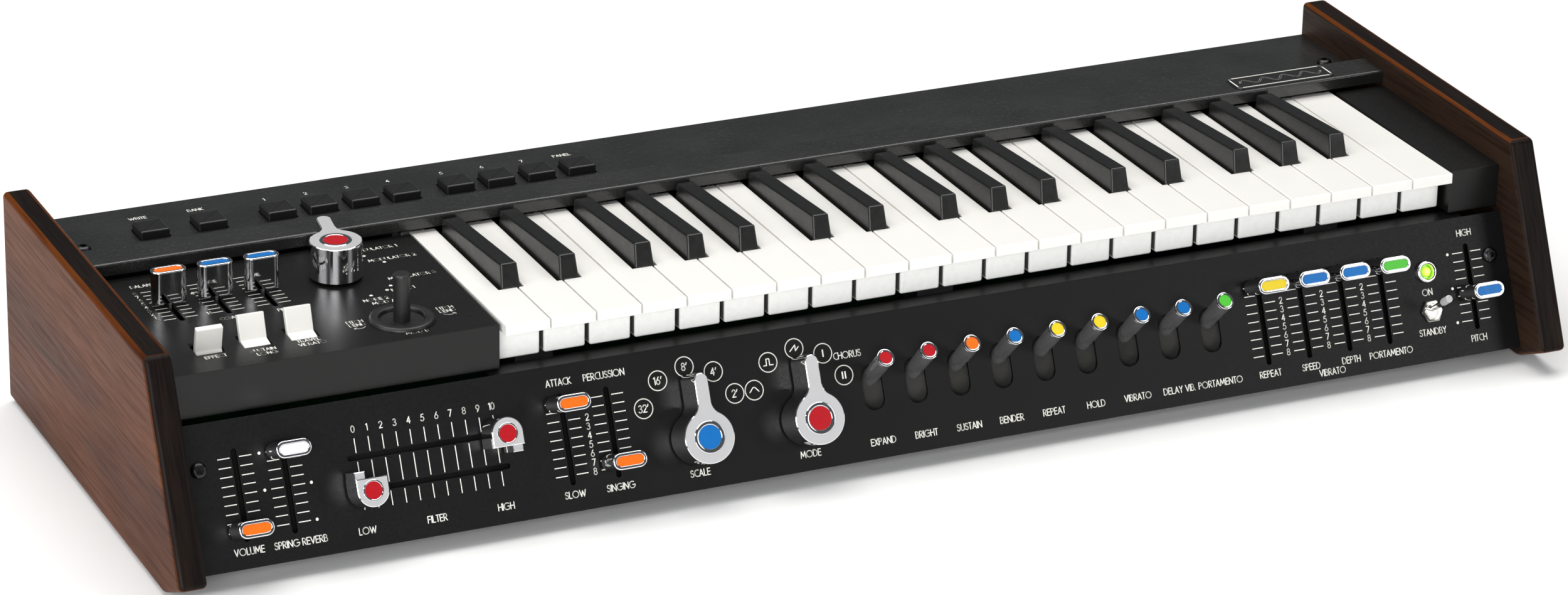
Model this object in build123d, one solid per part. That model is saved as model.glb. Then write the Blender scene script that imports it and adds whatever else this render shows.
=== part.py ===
from build123d import *
import math
import os

# A 37-key table-top synthesizer. Millimetres, +X to the player's right, +Y to the back, +Z up.
# The origin is the centre of the footprint, on the surface that the rubber feet stand on.

# ---- wooden cheeks -------------------------------------------------------------------------
WIDTH = 744.0
CHEEK_THICK = 14.2
CHEEK_TOP = 113.0
CHEEK_BOTTOM = 2.2
CHEEK_TOP_FRONT_Y = -86.5
CHEEK_FRONT_LENGTH = 109.2
CHEEK_ROUND = 2.6
SLANT = 24.7
INNER_HALF = WIDTH / 2 - CHEEK_THICK
SLANT_SIN = math.sin(math.radians(SLANT))
SLANT_COS = math.cos(math.radians(SLANT))
CHEEK_FRONT_Y = CHEEK_TOP_FRONT_Y - CHEEK_FRONT_LENGTH * SLANT_SIN
CHEEK_CORNER_Z = CHEEK_TOP - CHEEK_FRONT_LENGTH * SLANT_COS
CHEEK_REAR_Y = 131.3

# ---- sheet-metal case ------------------------------------------------------------------------
SHEET = 1.6
PAN_BOTTOM = 4.4
REAR_WALL_Y = 127.0
COVER_LIP_Y = 42.0
LIP_STRIP_Z = 105.4
STEP_Y = 61.8
COVER_STEP_Z = 96.7
COVER_REAR_Z = 95.2
LIP_ROUND = 1.3
APRON_BOTTOM_Z = 99.0

# ---- slanted front panel: x along the case, s measured down the slope, h out of the face ------
PANEL_SET_BACK = 21.0
PANEL_TOP_S = 34.0
PANEL_BOTTOM_S = 104.6
FLANGE_REAR_Y = -71.4

# ---- keyboard ------------------------------------------------------------------------------
KEY_PITCH = 23.6
WHITE_KEYS = 22
KEYS_LEFT_X = -190.9
KEY_FRONT_Y = -82.4
KEY_TOP_Z = 98.4
KEY_GAP = 0.9
KEY_SLOPE = -0.84
KEY_LIP_THICK = 5.5
KEY_LIP_OVERHANG = 12.0
KEY_HEAD_LENGTH = 42.6
KEY_BOX_DEPTH = 22.6
KEY_BOX_INSET = 0.65
KEY_TAIL_DEPTH = 14.0
KEY_END_Y = 71.0
KEY_WALL = 2.2
KEY_STEP_Y = 46.0
KEY_STEP_DEPTH = 4.8
PIVOT_Y = 66.0
PIVOT_Z = 87.0
PIVOT_R = 1.5
BLACK_HEIGHT = 11.5
BLACK_REAR_HEIGHT = 6.6
BLACK_FRONT_LEAN = 3.0
BLACK_BASE_WIDTH = 9.9
BLACK_TOP_WIDTH = 8.5
BLACK_TAIL_WIDTH = 11.2
BLACK_NOTCH_WIDTH = 13.0
BLACK_REAR_Y = 40.6
OCTAVES = 3
WHITE_NOTES = ["c", "d", "e", "f", "g", "a", "b"]
# Each black key stands on a boundary between white keys, moved sideways by its own offset.
BLACK_OFFSETS = {"c_sharp": (1, -3.4), "d_sharp": (2, 3.4), "f_sharp": (4, -4.2), "g_sharp": (5, 0.0),
                 "a_sharp": (6, 4.2)}

# ---- bed under the keys -------------------------------------------------------------------------
BED_Z = 62.0
BED_FRONT_Y = -30.0
BED_REAR_Y = 96.0
BED_OVERHANG = 4.0
BED_FOOT_XS = [-150, 68, 290]
BED_FOOT_YS = [-10, 88]
RAIL_Y = 73.0
RAIL_TOP_Z = 84.0
BRACKET_THICK = 3.0
BRACKET_FRONT_Y = 60.0
BRACKET_TOP_Z = 91.0
FELT_FRONT_Y = -24.0
FELT_TOP_Z = 65.6

# ---- upper left and right panels ---------------------------------------------------------------
UPPER_Z = 97.2
UPPER_FRONT_Y = -77.6
UPPER_APRON_Z = 74.6
UPPER_LEFT_EDGE_X = -191.9
UPPER_RIGHT_EDGE_X = 329.4

# ---- slider controls ---------------------------------------------------------------------------
CAP_LENGTH = 17.6
CAP_WIDTH = 8.2
CAP_TOP = 18.4
CAP_BOTTOM = 2.2
INSERT_LENGTH = 13.4
INSERT_WIDTH = 4.6
INSERT_DEPTH = 0.8
STEM_WIDE = 5.0
STEM_THICK = 1.4
SLOT_WIDTH = 2.8
SLOT_TOP_S = 47.9
SLOT_BOTTOM_S = 92.0
TRAVEL_TOP_S = 52.0
TRAVEL_BOTTOM_S = 86.2
CARRIAGE_TOP = -4.4
CARRIAGE_BOTTOM = -7.4
CARRIAGE_ACROSS = 7.0
CARRIAGE_ALONG = 6.0
POT_TOP = -8.2
POT_BOTTOM = -16.0
POT_WIDTH = 9.0
POT_LENGTH = 48.0
FILTER_POT_LENGTH = 84.0
FRONT_SLIDERS = {
    "volume_slider": (-329.6, 86.0),
    "reverb_slider": (-305.8, 52.0),
    "attack_slider": (-165.0, 52.4),
    "percussion_slider": (-141.3, 84.0),
    "repeat_slider": (213.5, 52.2),
    "vibrato_speed_slider": (236.8, 52.2),
    "vibrato_depth_slider": (260.1, 52.2),
    "portamento_slider": (283.4, 52.2),
    "pitch_slider": (334.7, 72.6),
}
UPPER_SLIDERS = {
    "balance_slider": -329.2,
    "coarse_tune_slider": -305.8,
    "fine_tune_slider": -282.4,
}
UPPER_SLOT_FRONT_Y = -17.6
UPPER_SLOT_REAR_Y = 25.4
UPPER_SLIDER_Y = 3.8

# ---- two-row filter sliders -----------------------------------------------------------------------
FILTER_LEFT_X = -270.3
FILTER_RIGHT_X = -200.1
FILTER_SLOT_LEFT_X = -275.2
FILTER_SLOT_RIGHT_X = -195.2
FILTER_HIGH_S = 61.7
FILTER_LOW_S = 77.6
FILTER_CAP_HALF = 8.0
FILTER_CAP_REACH = 6.2
FILTER_TAB_WIDTH = 5.4
FILTER_TAB_REACH = 9.4
FILTER_INSERT_R = 4.3

# ---- rotary knobs ----------------------------------------------------------------------------------
KNOB_R = 13.0
KNOB_TOP = 19.4
KNOB_BOTTOM = 1.6
POINTER_REACH = 31.2
POINTER_END_R = 3.6
KNOB_INSERT_R = 5.9
KNOB_RING_R = 7.6
SHAFT_R = 3.0
SHAFT_FIT = 0.05
ROTARY_S = 79.5
SCALE_X = -99.7
MODE_X = -41.5
MODULATOR_X = -244.0
MODULATOR_Y = 4.8

# ---- lever switches ---------------------------------------------------------------------------------
LEVER_FIRST_X = -3.3
LEVER_PITCH = 23.35
LEVER_COUNT = 9
LEVER_S = 69.7
LEVER_PIVOT_H = -15.0
LEVER_TIP = 39.0
LEVER_TIP_R = 4.6
LEVER_ROOT_R = 3.9
LEVER_TILT = 21.0
LEVER_SLOT_WIDTH = 11.0
LEVER_SLOT_LENGTH = 22.6
LEVER_INSERT_R = 3.2
LEVER_PIN_R = 1.2
SHUTTER_R = 11.2
SHUTTER_THICK = 0.8
SHUTTER_HALF_ANGLE = 62.0
LEVER_NAMES = ["expand", "bright", "sustain", "bender", "repeat", "hold", "vibrato", "delay_vibrato",
               "portamento"]

# ---- rocker tabs, joystick, preset buttons ---------------------------------------------------------
TAB_Y = -51.4
TAB_WIDTH = 13.2
TAB_OPENING = 14.6
TAB_PIVOT_H = -5.0
TAB_BACK_TILT = 19.4
TAB_FRONT_TILT = -13.0
TAB_BLADE = 17.6
TAB_THICK = 3.2
TAB_LEDGE = 5.6
TABS = {"effect_tab": (-329.2, TAB_FRONT_TILT), "sustain_tab": (-305.8, TAB_BACK_TILT),
        "travel_vibrato_tab": (-282.4, TAB_BACK_TILT)}
JOY_X = -232.7
JOY_Y = -54.8
JOY_TOP = 24.0
JOY_PIVOT_H = -12.0
JOY_BEZEL_R = 16.0
JOY_HOLE_R = 10.8
JOY_STICK_R = 4.1
JOY_PIN_R = 1.5
BUTTON_WIDE = 15.0
BUTTON_DEEP = 15.0
BUTTON_HEIGHT = 4.2
BUTTON_Y = 92.4
BUTTON_XS = [-308.4, -278.4, -242.3, -220.4, -198.5, -176.6, -147.7, -125.8, -103.9, -82.0]
BUTTON_GAP = 0.5

# ---- power switch, lamp, fasteners, feet ---------------------------------------------------------
LAMP_X = 309.5
LAMP_S = 58.8
POWER_S = 79.0
POWER_PIVOT_H = -3.0
POWER_TILT = 13.0
POWER_BALL_R = 2.9
POWER_BAT_ROOT = 2.0
POWER_BAT_LENGTH = 24.6
POWER_BAT_ROOT_R = 1.1
POWER_BAT_TIP_R = 2.0
POWER_PIN_R = 0.8
PANEL_SCREW_X = 347.8
PANEL_SCREW_S = 55.6
FOOT_R = 10.0
FOOT_X = 318.0
FOOT_FRONT_Y = -83.0
FOOT_REAR_Y = 104.0
PLATE_X = 301.2
PLATE_Y = 52.0
PLATE_LENGTH = 57.6
PLATE_WIDTH = 15.4
PLATE_THICK = 0.8
COVER_SCREW_X = 346.0
COVER_SCREW_Y = 83.6
FLOOR_SCREW_XS = [-334, -112, 122, 344]
FLOOR_SCREW_YS = [-92.5, 112.0]
REAR_SCREW_X = 300.0
REAR_SCREW_Z = 86.0
PANEL_SCREW_R = 4.0
FLOOR_SCREW_R = 3.6

# ---- boards inside ------------------------------------------------------------------------------------
BOARD_Z = 14.0
BOARD_THICK = 1.6
BOARD_LEFT_X = -330.0
BOARD_RIGHT_X = 200.0
BOARD_FRONT_Y = 2.0
BOARD_REAR_Y = 76.0
CHIP_XS = [-280, -220, -120, 90]
CAPACITOR_XS = [110, 128, 146]
BUTTON_BOARD_H = -9.0
BUTTON_BOARD_LENGTH = 252.0
BUTTON_BOARD_WIDTH = 17.0

# ---- rear sockets ------------------------------------------------------------------------------------
JACK_Z = 42.0
JACKS = [(-300, 5.2), (-268, 5.2), (-236, 5.2), (-204, 5.2), (-150, 4.0), (-128, 4.0), (-90, 8.2), (-58, 8.2),
         (250, 6.0)]
USB_X = -20.0

# ---- work planes -------------------------------------------------------------------------------------
PANEL_NORMAL = (0, -SLANT_COS, SLANT_SIN)
PANEL_ORIGIN = (0, CHEEK_TOP_FRONT_Y + PANEL_SET_BACK * SLANT_COS, CHEEK_TOP - PANEL_SET_BACK * SLANT_SIN)
PANEL = Plane(origin=PANEL_ORIGIN, x_dir=(1, 0, 0), z_dir=PANEL_NORMAL)
UPPER = Plane(origin=(0, 0, UPPER_Z), x_dir=(1, 0, 0), z_dir=(0, 0, 1))
COVER_FALL = math.degrees(math.atan2(COVER_STEP_Z - COVER_REAR_Z, REAR_WALL_Y - STEP_Y))
COVER_NORMAL = (0, math.sin(math.radians(COVER_FALL)), math.cos(math.radians(COVER_FALL)))
COVER = Plane(origin=(0, STEP_Y, COVER_STEP_Z), x_dir=(1, 0, 0), z_dir=COVER_NORMAL)

os.makedirs("parts", exist_ok=True)


def save(name, *solids):
    """Write one node as a compound of its separate solids."""
    flat = []
    for item in solids:
        flat.extend(item.solids())
    export_step(Compound(children=flat), f"parts/{name}.step")


def block(x0, x1, y0, y1, z0, z1):
    """An upright box between two corners."""
    centre = ((x0 + x1) / 2, (y0 + y1) / 2, (z0 + z1) / 2)
    return Pos(*centre) * Box(x1 - x0, y1 - y0, z1 - z0)


def rod(radius, start, end):
    """A round bar from one point to another."""
    path = Vector(*end) - Vector(*start)
    plane = Plane(origin=start, z_dir=path)
    return plane * extrude_up(Circle(radius), 0, path.length)


def extrude_up(sketch, low, high):
    """Extrude a sketch on XY between two heights."""
    return Pos(0, 0, low) * extrude(sketch, amount=high - low)


def on_panel(shape, x=0.0, s=0.0):
    """Move a shape drawn about the local origin to a place on the slanted panel."""
    return PANEL * Pos(x, -s, 0) * shape


def on_upper(shape, x=0.0, y=0.0):
    """Move a shape drawn about the local origin to a place on the upper left panel."""
    return UPPER * Pos(x, y, 0) * shape


def on_cover(shape, x=0.0, y=0.0):
    """Move a shape to a place on the rear cover; y is the place's own y."""
    along = (y - STEP_Y) / math.cos(math.radians(COVER_FALL))
    return COVER * Pos(x, along, 0) * shape


def oblong(length, width):
    """A stadium shape, long along x."""
    return SlotOverall(length, width)


# ---- case --------------------------------------------------------------------------------------------

def cheek(side):
    """A wooden end cheek with rounded edges; side is -1 for left and 1 for right."""
    chamfer_drop = CHEEK_CORNER_Z - CHEEK_BOTTOM
    chamfer_end_y = CHEEK_FRONT_Y + chamfer_drop / math.tan(math.radians(SLANT))
    outline = [(CHEEK_TOP_FRONT_Y, CHEEK_TOP), (CHEEK_REAR_Y, CHEEK_TOP), (CHEEK_REAR_Y, CHEEK_BOTTOM),
               (chamfer_end_y, CHEEK_BOTTOM), (CHEEK_FRONT_Y, CHEEK_CORNER_Z)]
    face = make_face(Polyline(*outline, close=True))
    plane = Plane(origin=(-WIDTH / 2 if side < 0 else INNER_HALF, 0, 0), x_dir=(0, 1, 0), z_dir=(1, 0, 0))
    board = extrude(plane * face, amount=CHEEK_THICK)
    return fillet(board.edges(), CHEEK_ROUND)


def panel_sheet():
    """The slanted front panel, with its top flange and bottom lip, before the holes."""
    face_length = PANEL_BOTTOM_S - PANEL_TOP_S
    middle_s = (PANEL_BOTTOM_S + PANEL_TOP_S) / 2
    sheet = on_panel(Pos(0, 0, -SHEET / 2) * Box(2 * INNER_HALF, face_length, SHEET), 0, middle_s)
    bend = panel_point(0, PANEL_TOP_S, 0)
    flange = block(UPPER_LEFT_EDGE_X - 6, UPPER_RIGHT_EDGE_X + 6, bend.Y, FLANGE_REAR_Y, bend.Z - SHEET, bend.Z)
    lip_reach = 9.0
    lip = on_panel(Pos(0, SHEET / 2, -lip_reach / 2) * Box(2 * INNER_HALF, SHEET, lip_reach), 0, PANEL_BOTTOM_S)
    return sheet + flange + lip


def panel_point(x, s, h):
    """A point given in panel coordinates, in the object's own axes."""
    return PANEL.from_local_coords(Vector(x, -s, h))


def front_panel():
    """The slanted panel with every slot and hole that the controls pass through."""
    sheet = panel_sheet()
    cut_depth = 6 * SHEET
    slot_length = SLOT_BOTTOM_S - SLOT_TOP_S
    slot_middle = (SLOT_BOTTOM_S + SLOT_TOP_S) / 2
    upright = extrude_up(Rot(0, 0, 90) * oblong(slot_length, SLOT_WIDTH), -cut_depth / 2, cut_depth / 2)
    holes = [on_panel(upright, x, slot_middle) for x, rest_s in FRONT_SLIDERS.values()]
    row_length = FILTER_SLOT_RIGHT_X - FILTER_SLOT_LEFT_X
    row = extrude_up(oblong(row_length, SLOT_WIDTH), -cut_depth / 2, cut_depth / 2)
    row_x = (FILTER_SLOT_RIGHT_X + FILTER_SLOT_LEFT_X) / 2
    holes += [on_panel(row, row_x, FILTER_HIGH_S), on_panel(row, row_x, FILTER_LOW_S)]
    lever_slot = extrude_up(Rot(0, 0, 90) * oblong(LEVER_SLOT_LENGTH, LEVER_SLOT_WIDTH), -cut_depth / 2,
                            cut_depth / 2)
    for i in range(LEVER_COUNT):
        holes.append(on_panel(lever_slot, LEVER_FIRST_X + i * LEVER_PITCH, LEVER_S))
    for x in (SCALE_X, MODE_X):
        holes.append(on_panel(Cylinder(SHAFT_R + 1.6, cut_depth), x, ROTARY_S))
    holes.append(on_panel(Cylinder(4.0, cut_depth), LAMP_X, LAMP_S))
    holes.append(on_panel(Cylinder(4.0, cut_depth), LAMP_X, POWER_S))
    return sheet - holes


def bottom_pan():
    """The floor of the case with the rear wall folded up and the jack openings in it."""
    floor = block(-INNER_HALF, INNER_HALF, -98.0, REAR_WALL_Y, PAN_BOTTOM, PAN_BOTTOM + SHEET)
    wall = block(-INNER_HALF, INNER_HALF, REAR_WALL_Y - SHEET, REAR_WALL_Y, PAN_BOTTOM, COVER_REAR_Z - 2.4)
    pan = floor + wall
    cuts = []
    for x, radius in JACKS:
        cuts.append(Pos(x, REAR_WALL_Y, JACK_Z) * Rot(90, 0, 0) * Cylinder(radius + 0.4, 4 * SHEET))
    cuts.append(block(USB_X - 6.4, USB_X + 6.4, REAR_WALL_Y - 4, REAR_WALL_Y + 4, JACK_Z - 6, JACK_Z + 6))
    return pan - cuts


def rear_jacks():
    """Socket bodies on the rear wall: phone jacks, small sync jacks, round data sockets, USB and the inlet."""
    bodies = []
    for x, radius in JACKS:
        barrel = Cylinder(radius, 22)
        bore = Cylinder(radius * 0.62, 18)
        socket = barrel - Pos(0, 0, 3) * bore
        bodies.append(Pos(x, REAR_WALL_Y - 8.2, JACK_Z) * Rot(-90, 0, 0) * socket)
    shell = block(USB_X - 6, USB_X + 6, REAR_WALL_Y - 16, REAR_WALL_Y + 0.8, JACK_Z - 5.6, JACK_Z + 5.6)
    cavity = block(USB_X - 4.2, USB_X + 4.2, REAR_WALL_Y - 10, REAR_WALL_Y + 2, JACK_Z - 3.8, JACK_Z + 3.8)
    bodies.append(shell - cavity)
    return bodies


def top_cover():
    """The rear cover: a level raised strip behind the keys, a step down, and the rear plate with button openings."""
    apron = block(-INNER_HALF, INNER_HALF, COVER_LIP_Y, STEP_Y, APRON_BOTTOM_Z, LIP_STRIP_Z)
    apron = fillet(apron.edges().filter_by(Axis.X).group_by(Axis.Z)[-1].sort_by(Axis.Y)[0], LIP_ROUND)
    apron -= block(-WIDTH, WIDTH, COVER_LIP_Y + SHEET, STEP_Y + 1, 0, LIP_STRIP_Z - SHEET)
    step = block(-INNER_HALF, INNER_HALF, STEP_Y - SHEET, STEP_Y, COVER_STEP_Z - SHEET, LIP_STRIP_Z - SHEET / 2)
    length = (REAR_WALL_Y + SHEET / 2 - STEP_Y) / math.cos(math.radians(COVER_FALL))
    plate = COVER * Pos(0, (length - SHEET / 2) / 2, -SHEET / 2) * Box(2 * INNER_HALF, length + SHEET / 2, SHEET)
    hem = block(-INNER_HALF, INNER_HALF, REAR_WALL_Y, REAR_WALL_Y + SHEET, COVER_REAR_Z - 14, COVER_REAR_Z - 0.1)
    cover = apron + step + plate + hem
    opening = Box(BUTTON_WIDE + 2 * BUTTON_GAP, BUTTON_DEEP + 2 * BUTTON_GAP, 6 * SHEET)
    return cover - [on_cover(opening, x, BUTTON_Y) for x in BUTTON_XS]


def upper_left_panel():
    """The upper left control panel with its apron, side skirt and openings."""
    rear_y = COVER_LIP_Y - 0.6
    top = block(-INNER_HALF, UPPER_LEFT_EDGE_X, UPPER_FRONT_Y, rear_y, UPPER_Z - SHEET, UPPER_Z)
    apron = block(-INNER_HALF, UPPER_LEFT_EDGE_X, UPPER_FRONT_Y, UPPER_FRONT_Y + SHEET, UPPER_APRON_Z, UPPER_Z)
    skirt = block(UPPER_LEFT_EDGE_X - SHEET, UPPER_LEFT_EDGE_X, UPPER_FRONT_Y, rear_y, UPPER_APRON_Z, UPPER_Z)
    shell = top + apron + skirt
    cut = 4 * SHEET
    length = UPPER_SLOT_REAR_Y - UPPER_SLOT_FRONT_Y
    middle = (UPPER_SLOT_REAR_Y + UPPER_SLOT_FRONT_Y) / 2
    slot = extrude_up(Rot(0, 0, 90) * oblong(length, SLOT_WIDTH), -cut / 2, cut / 2)
    holes = [on_upper(slot, x, middle) for x in UPPER_SLIDERS.values()]
    holes += [on_upper(Box(TAB_OPENING, TAB_OPENING, cut), x, TAB_Y) for x, tilt in TABS.values()]
    holes.append(on_upper(Cylinder(SHAFT_R + 1.6, cut), MODULATOR_X, MODULATOR_Y))
    holes.append(on_upper(Cylinder(JOY_HOLE_R + 2.0, cut), JOY_X, JOY_Y))
    return shell - holes


def right_block():
    """The short panel between the last key and the right cheek."""
    rear_y = COVER_LIP_Y - 0.6
    top = block(UPPER_RIGHT_EDGE_X, INNER_HALF, UPPER_FRONT_Y, rear_y, UPPER_Z - SHEET, UPPER_Z)
    apron = block(UPPER_RIGHT_EDGE_X, INNER_HALF, UPPER_FRONT_Y, UPPER_FRONT_Y + SHEET, UPPER_APRON_Z, UPPER_Z)
    skirt = block(UPPER_RIGHT_EDGE_X, UPPER_RIGHT_EDGE_X + SHEET, UPPER_FRONT_Y, rear_y, UPPER_APRON_Z, UPPER_Z)
    return top + apron + skirt


# ---- keyboard -----------------------------------------------------------------------------------------


def black_centres():
    """The x of every black key, by note name."""
    places = {}
    for note, (boundary, offset) in BLACK_OFFSETS.items():
        places[note] = [KEYS_LEFT_X + (7 * octave + boundary) * KEY_PITCH + offset for octave in range(OCTAVES)]
    return places


def tilt_key(shape):
    """Give a key its slight fall towards the back, then bore it for the pivot rod."""
    tilted = shape.rotate(Axis((0, KEY_FRONT_Y, KEY_TOP_Z), (1, 0, 0)), KEY_SLOPE)
    bore = Pos(0, PIVOT_Y, PIVOT_Z) * Rot(0, 90, 0) * Cylinder(PIVOT_R + 0.05, 2 * WIDTH)
    return tilted - bore


def tail_step(x0, x1):
    """The part of a tail that is cut away to pass under the cover."""
    return block(x0 - 1, x1 + 1, KEY_STEP_Y, KEY_END_Y + 1, KEY_TOP_Z - KEY_STEP_DEPTH, KEY_TOP_Z + 1)


def white_key(index):
    """A white key: lipped head, deep front box, and a tail cut back beside the black keys."""
    x0 = KEYS_LEFT_X + index * KEY_PITCH + KEY_GAP / 2
    x1 = x0 + KEY_PITCH - KEY_GAP
    head_end = KEY_FRONT_Y + KEY_HEAD_LENGTH
    head = block(x0, x1, KEY_FRONT_Y, head_end, KEY_TOP_Z - KEY_LIP_THICK, KEY_TOP_Z)
    head = fillet(head.edges().filter_by(Axis.Z).sort_by(Axis.Y)[:2], 1.2)
    box_front = KEY_FRONT_Y + KEY_LIP_OVERHANG
    box = block(x0 + KEY_BOX_INSET, x1 - KEY_BOX_INSET, box_front, head_end, KEY_TOP_Z - KEY_BOX_DEPTH,
                KEY_TOP_Z - 1)
    box = fillet(box.edges().filter_by(Axis.Y).sort_by(Axis.Z)[:2], 2.4)
    tail = block(x0, x1, head_end - 1, KEY_END_Y, KEY_TOP_Z - KEY_TAIL_DEPTH, KEY_TOP_Z)
    half_notch = BLACK_NOTCH_WIDTH / 2
    for places in black_centres().values():
        for centre in places:
            if centre - half_notch < x1 and centre + half_notch > x0:
                tail -= block(centre - half_notch, centre + half_notch, head_end, KEY_END_Y + 1, 0, 200)
    key = head + box + tail
    hollow = box.bounding_box()
    key -= block(hollow.min.X + KEY_WALL, hollow.max.X - KEY_WALL, box_front + KEY_WALL, head_end - KEY_WALL,
                 KEY_TOP_Z - KEY_BOX_DEPTH - 1, KEY_TOP_Z - KEY_WALL)
    return tilt_key(key - tail_step(x0, x1))


def black_key(centre):
    """A black key: tapered cap that falls towards the back, on a wider tail."""
    front_y = KEY_FRONT_Y + KEY_HEAD_LENGTH + 0.4
    cap_middle = (front_y + BLACK_REAR_Y) / 2
    foot = Pos(centre, cap_middle, KEY_TOP_Z) * Rectangle(BLACK_BASE_WIDTH, BLACK_REAR_Y - front_y)
    crown_front = front_y + BLACK_FRONT_LEAN
    crown_middle = (crown_front + BLACK_REAR_Y) / 2
    crown = Pos(centre, crown_middle, KEY_TOP_Z + BLACK_HEIGHT) * Rectangle(BLACK_TOP_WIDTH,
                                                                           BLACK_REAR_Y - crown_front)
    cap = loft([foot, crown])
    wedge = make_face(Polyline((crown_front + 1, BLACK_HEIGHT), (BLACK_REAR_Y + 1, BLACK_REAR_HEIGHT),
                               (BLACK_REAR_Y + 1, BLACK_HEIGHT + 5), (crown_front + 1, BLACK_HEIGHT + 5),
                               close=True))
    side = Plane(origin=(centre - 20, 0, KEY_TOP_Z), x_dir=(0, 1, 0), z_dir=(1, 0, 0))
    cap -= extrude(side * wedge, amount=40)
    half_tail = BLACK_TAIL_WIDTH / 2
    tail = block(centre - half_tail, centre + half_tail, front_y, KEY_END_Y, KEY_TOP_Z - KEY_TAIL_DEPTH, KEY_TOP_Z)
    return tilt_key(cap + tail - tail_step(centre - half_tail, centre + half_tail))


def keyboard():
    """Every key by note name."""
    notes = {}
    for i, note in enumerate(WHITE_NOTES):
        notes[note] = [white_key(7 * octave + i) for octave in range(OCTAVES)]
    notes["c"].append(white_key(WHITE_KEYS - 1))
    for note, places in black_centres().items():
        notes[note] = [black_key(x) for x in places]
    return notes


def key_frame():
    """The steel bed under the keys on its feet, the felt stop strip, the pivot rod and its end brackets."""
    left = KEYS_LEFT_X + 0.6
    right = KEYS_LEFT_X + WHITE_KEYS * KEY_PITCH - 0.6
    bed_left = left - BED_OVERHANG
    bed_right = right + BED_OVERHANG
    bed = block(bed_left, bed_right, BED_FRONT_Y, BED_REAR_Y, BED_Z, BED_Z + SHEET)
    feet = []
    for x in BED_FOOT_XS:
        for y in BED_FOOT_YS:
            feet.append(block(x - 10, x + 10, y - 8, y + 8, PAN_BOTTOM + SHEET, BED_Z))
    rear_rail = block(left, right, RAIL_Y, RAIL_Y + SHEET, BED_Z + SHEET, RAIL_TOP_Z)
    pin = rod(PIVOT_R, (bed_left, PIVOT_Y, PIVOT_Z), (bed_right, PIVOT_Y, PIVOT_Z))
    ends = []
    for x in (bed_left, bed_right - BRACKET_THICK):
        ends.append(block(x, x + BRACKET_THICK, BRACKET_FRONT_Y, RAIL_Y + SHEET, BED_Z, BRACKET_TOP_Z))
    bore = Pos(0, PIVOT_Y, PIVOT_Z) * Rot(0, 90, 0) * Cylinder(PIVOT_R, 2 * WIDTH)
    frame = (bed + rear_rail + ends) - bore
    felt = block(left, right, FELT_FRONT_Y, 0.0, BED_Z + SHEET, FELT_TOP_Z)
    return [frame, pin, felt, *feet]


# ---- controls ----------------------------------------------------------------------------------------

def slider_cap():
    """A plated oval cap on its stem and carriage, long along x, with the colour insert apart."""
    body = extrude_up(oblong(CAP_LENGTH, CAP_WIDTH), CAP_BOTTOM, CAP_TOP)
    body = fillet(body.edges().group_by(Axis.Z)[-1], 0.5)
    body -= extrude_up(oblong(INSERT_LENGTH, INSERT_WIDTH), CAP_TOP - INSERT_DEPTH, CAP_TOP + 1)
    insert = extrude_up(oblong(INSERT_LENGTH, INSERT_WIDTH), CAP_TOP - INSERT_DEPTH, CAP_TOP - 0.3)
    return body, insert


def slider():
    """A whole slider; the stem blade lies along its travel, which is y."""
    body, insert = slider_cap()
    stem = extrude_up(Rectangle(STEM_THICK, STEM_WIDE), CARRIAGE_TOP - 0.5, CAP_BOTTOM + 2)
    carriage = extrude_up(Rectangle(CARRIAGE_ACROSS, CARRIAGE_ALONG), CARRIAGE_BOTTOM, CARRIAGE_TOP)
    return [body + stem + carriage, insert]


def filter_slider(flip):
    """A U-shaped filter cap with a pointer tab at one corner; flip turns it upside down."""
    half = FILTER_CAP_HALF
    u_shape = Circle(half) - Pos(0, half) * Rectangle(2 * half, 2 * half)
    u_shape += Pos(0, FILTER_CAP_REACH / 2) * Rectangle(2 * half, FILTER_CAP_REACH)
    tab = Pos(-half + FILTER_TAB_WIDTH / 2 + 0.4, (FILTER_CAP_REACH + FILTER_TAB_REACH) / 2)
    u_shape += tab * Rectangle(FILTER_TAB_WIDTH, FILTER_TAB_REACH - FILTER_CAP_REACH + 0.4)
    body = extrude_up(u_shape, CAP_BOTTOM, CAP_TOP - 1.2)
    body -= extrude_up(Circle(FILTER_INSERT_R), CAP_TOP - 2.0, CAP_TOP)
    insert = extrude_up(Circle(FILTER_INSERT_R), CAP_TOP - 2.0, CAP_TOP - 1.4)
    stem = extrude_up(Rectangle(STEM_WIDE, STEM_THICK), CARRIAGE_TOP - 0.5, CAP_BOTTOM + 2)
    carriage = extrude_up(Rectangle(CARRIAGE_ALONG, CARRIAGE_ACROSS), CARRIAGE_BOTTOM, CARRIAGE_TOP)
    turn = Rot(0, 0, 180) if flip else Rot(0, 0, 0)
    return [turn * (body + stem + carriage), turn * insert]


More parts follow.
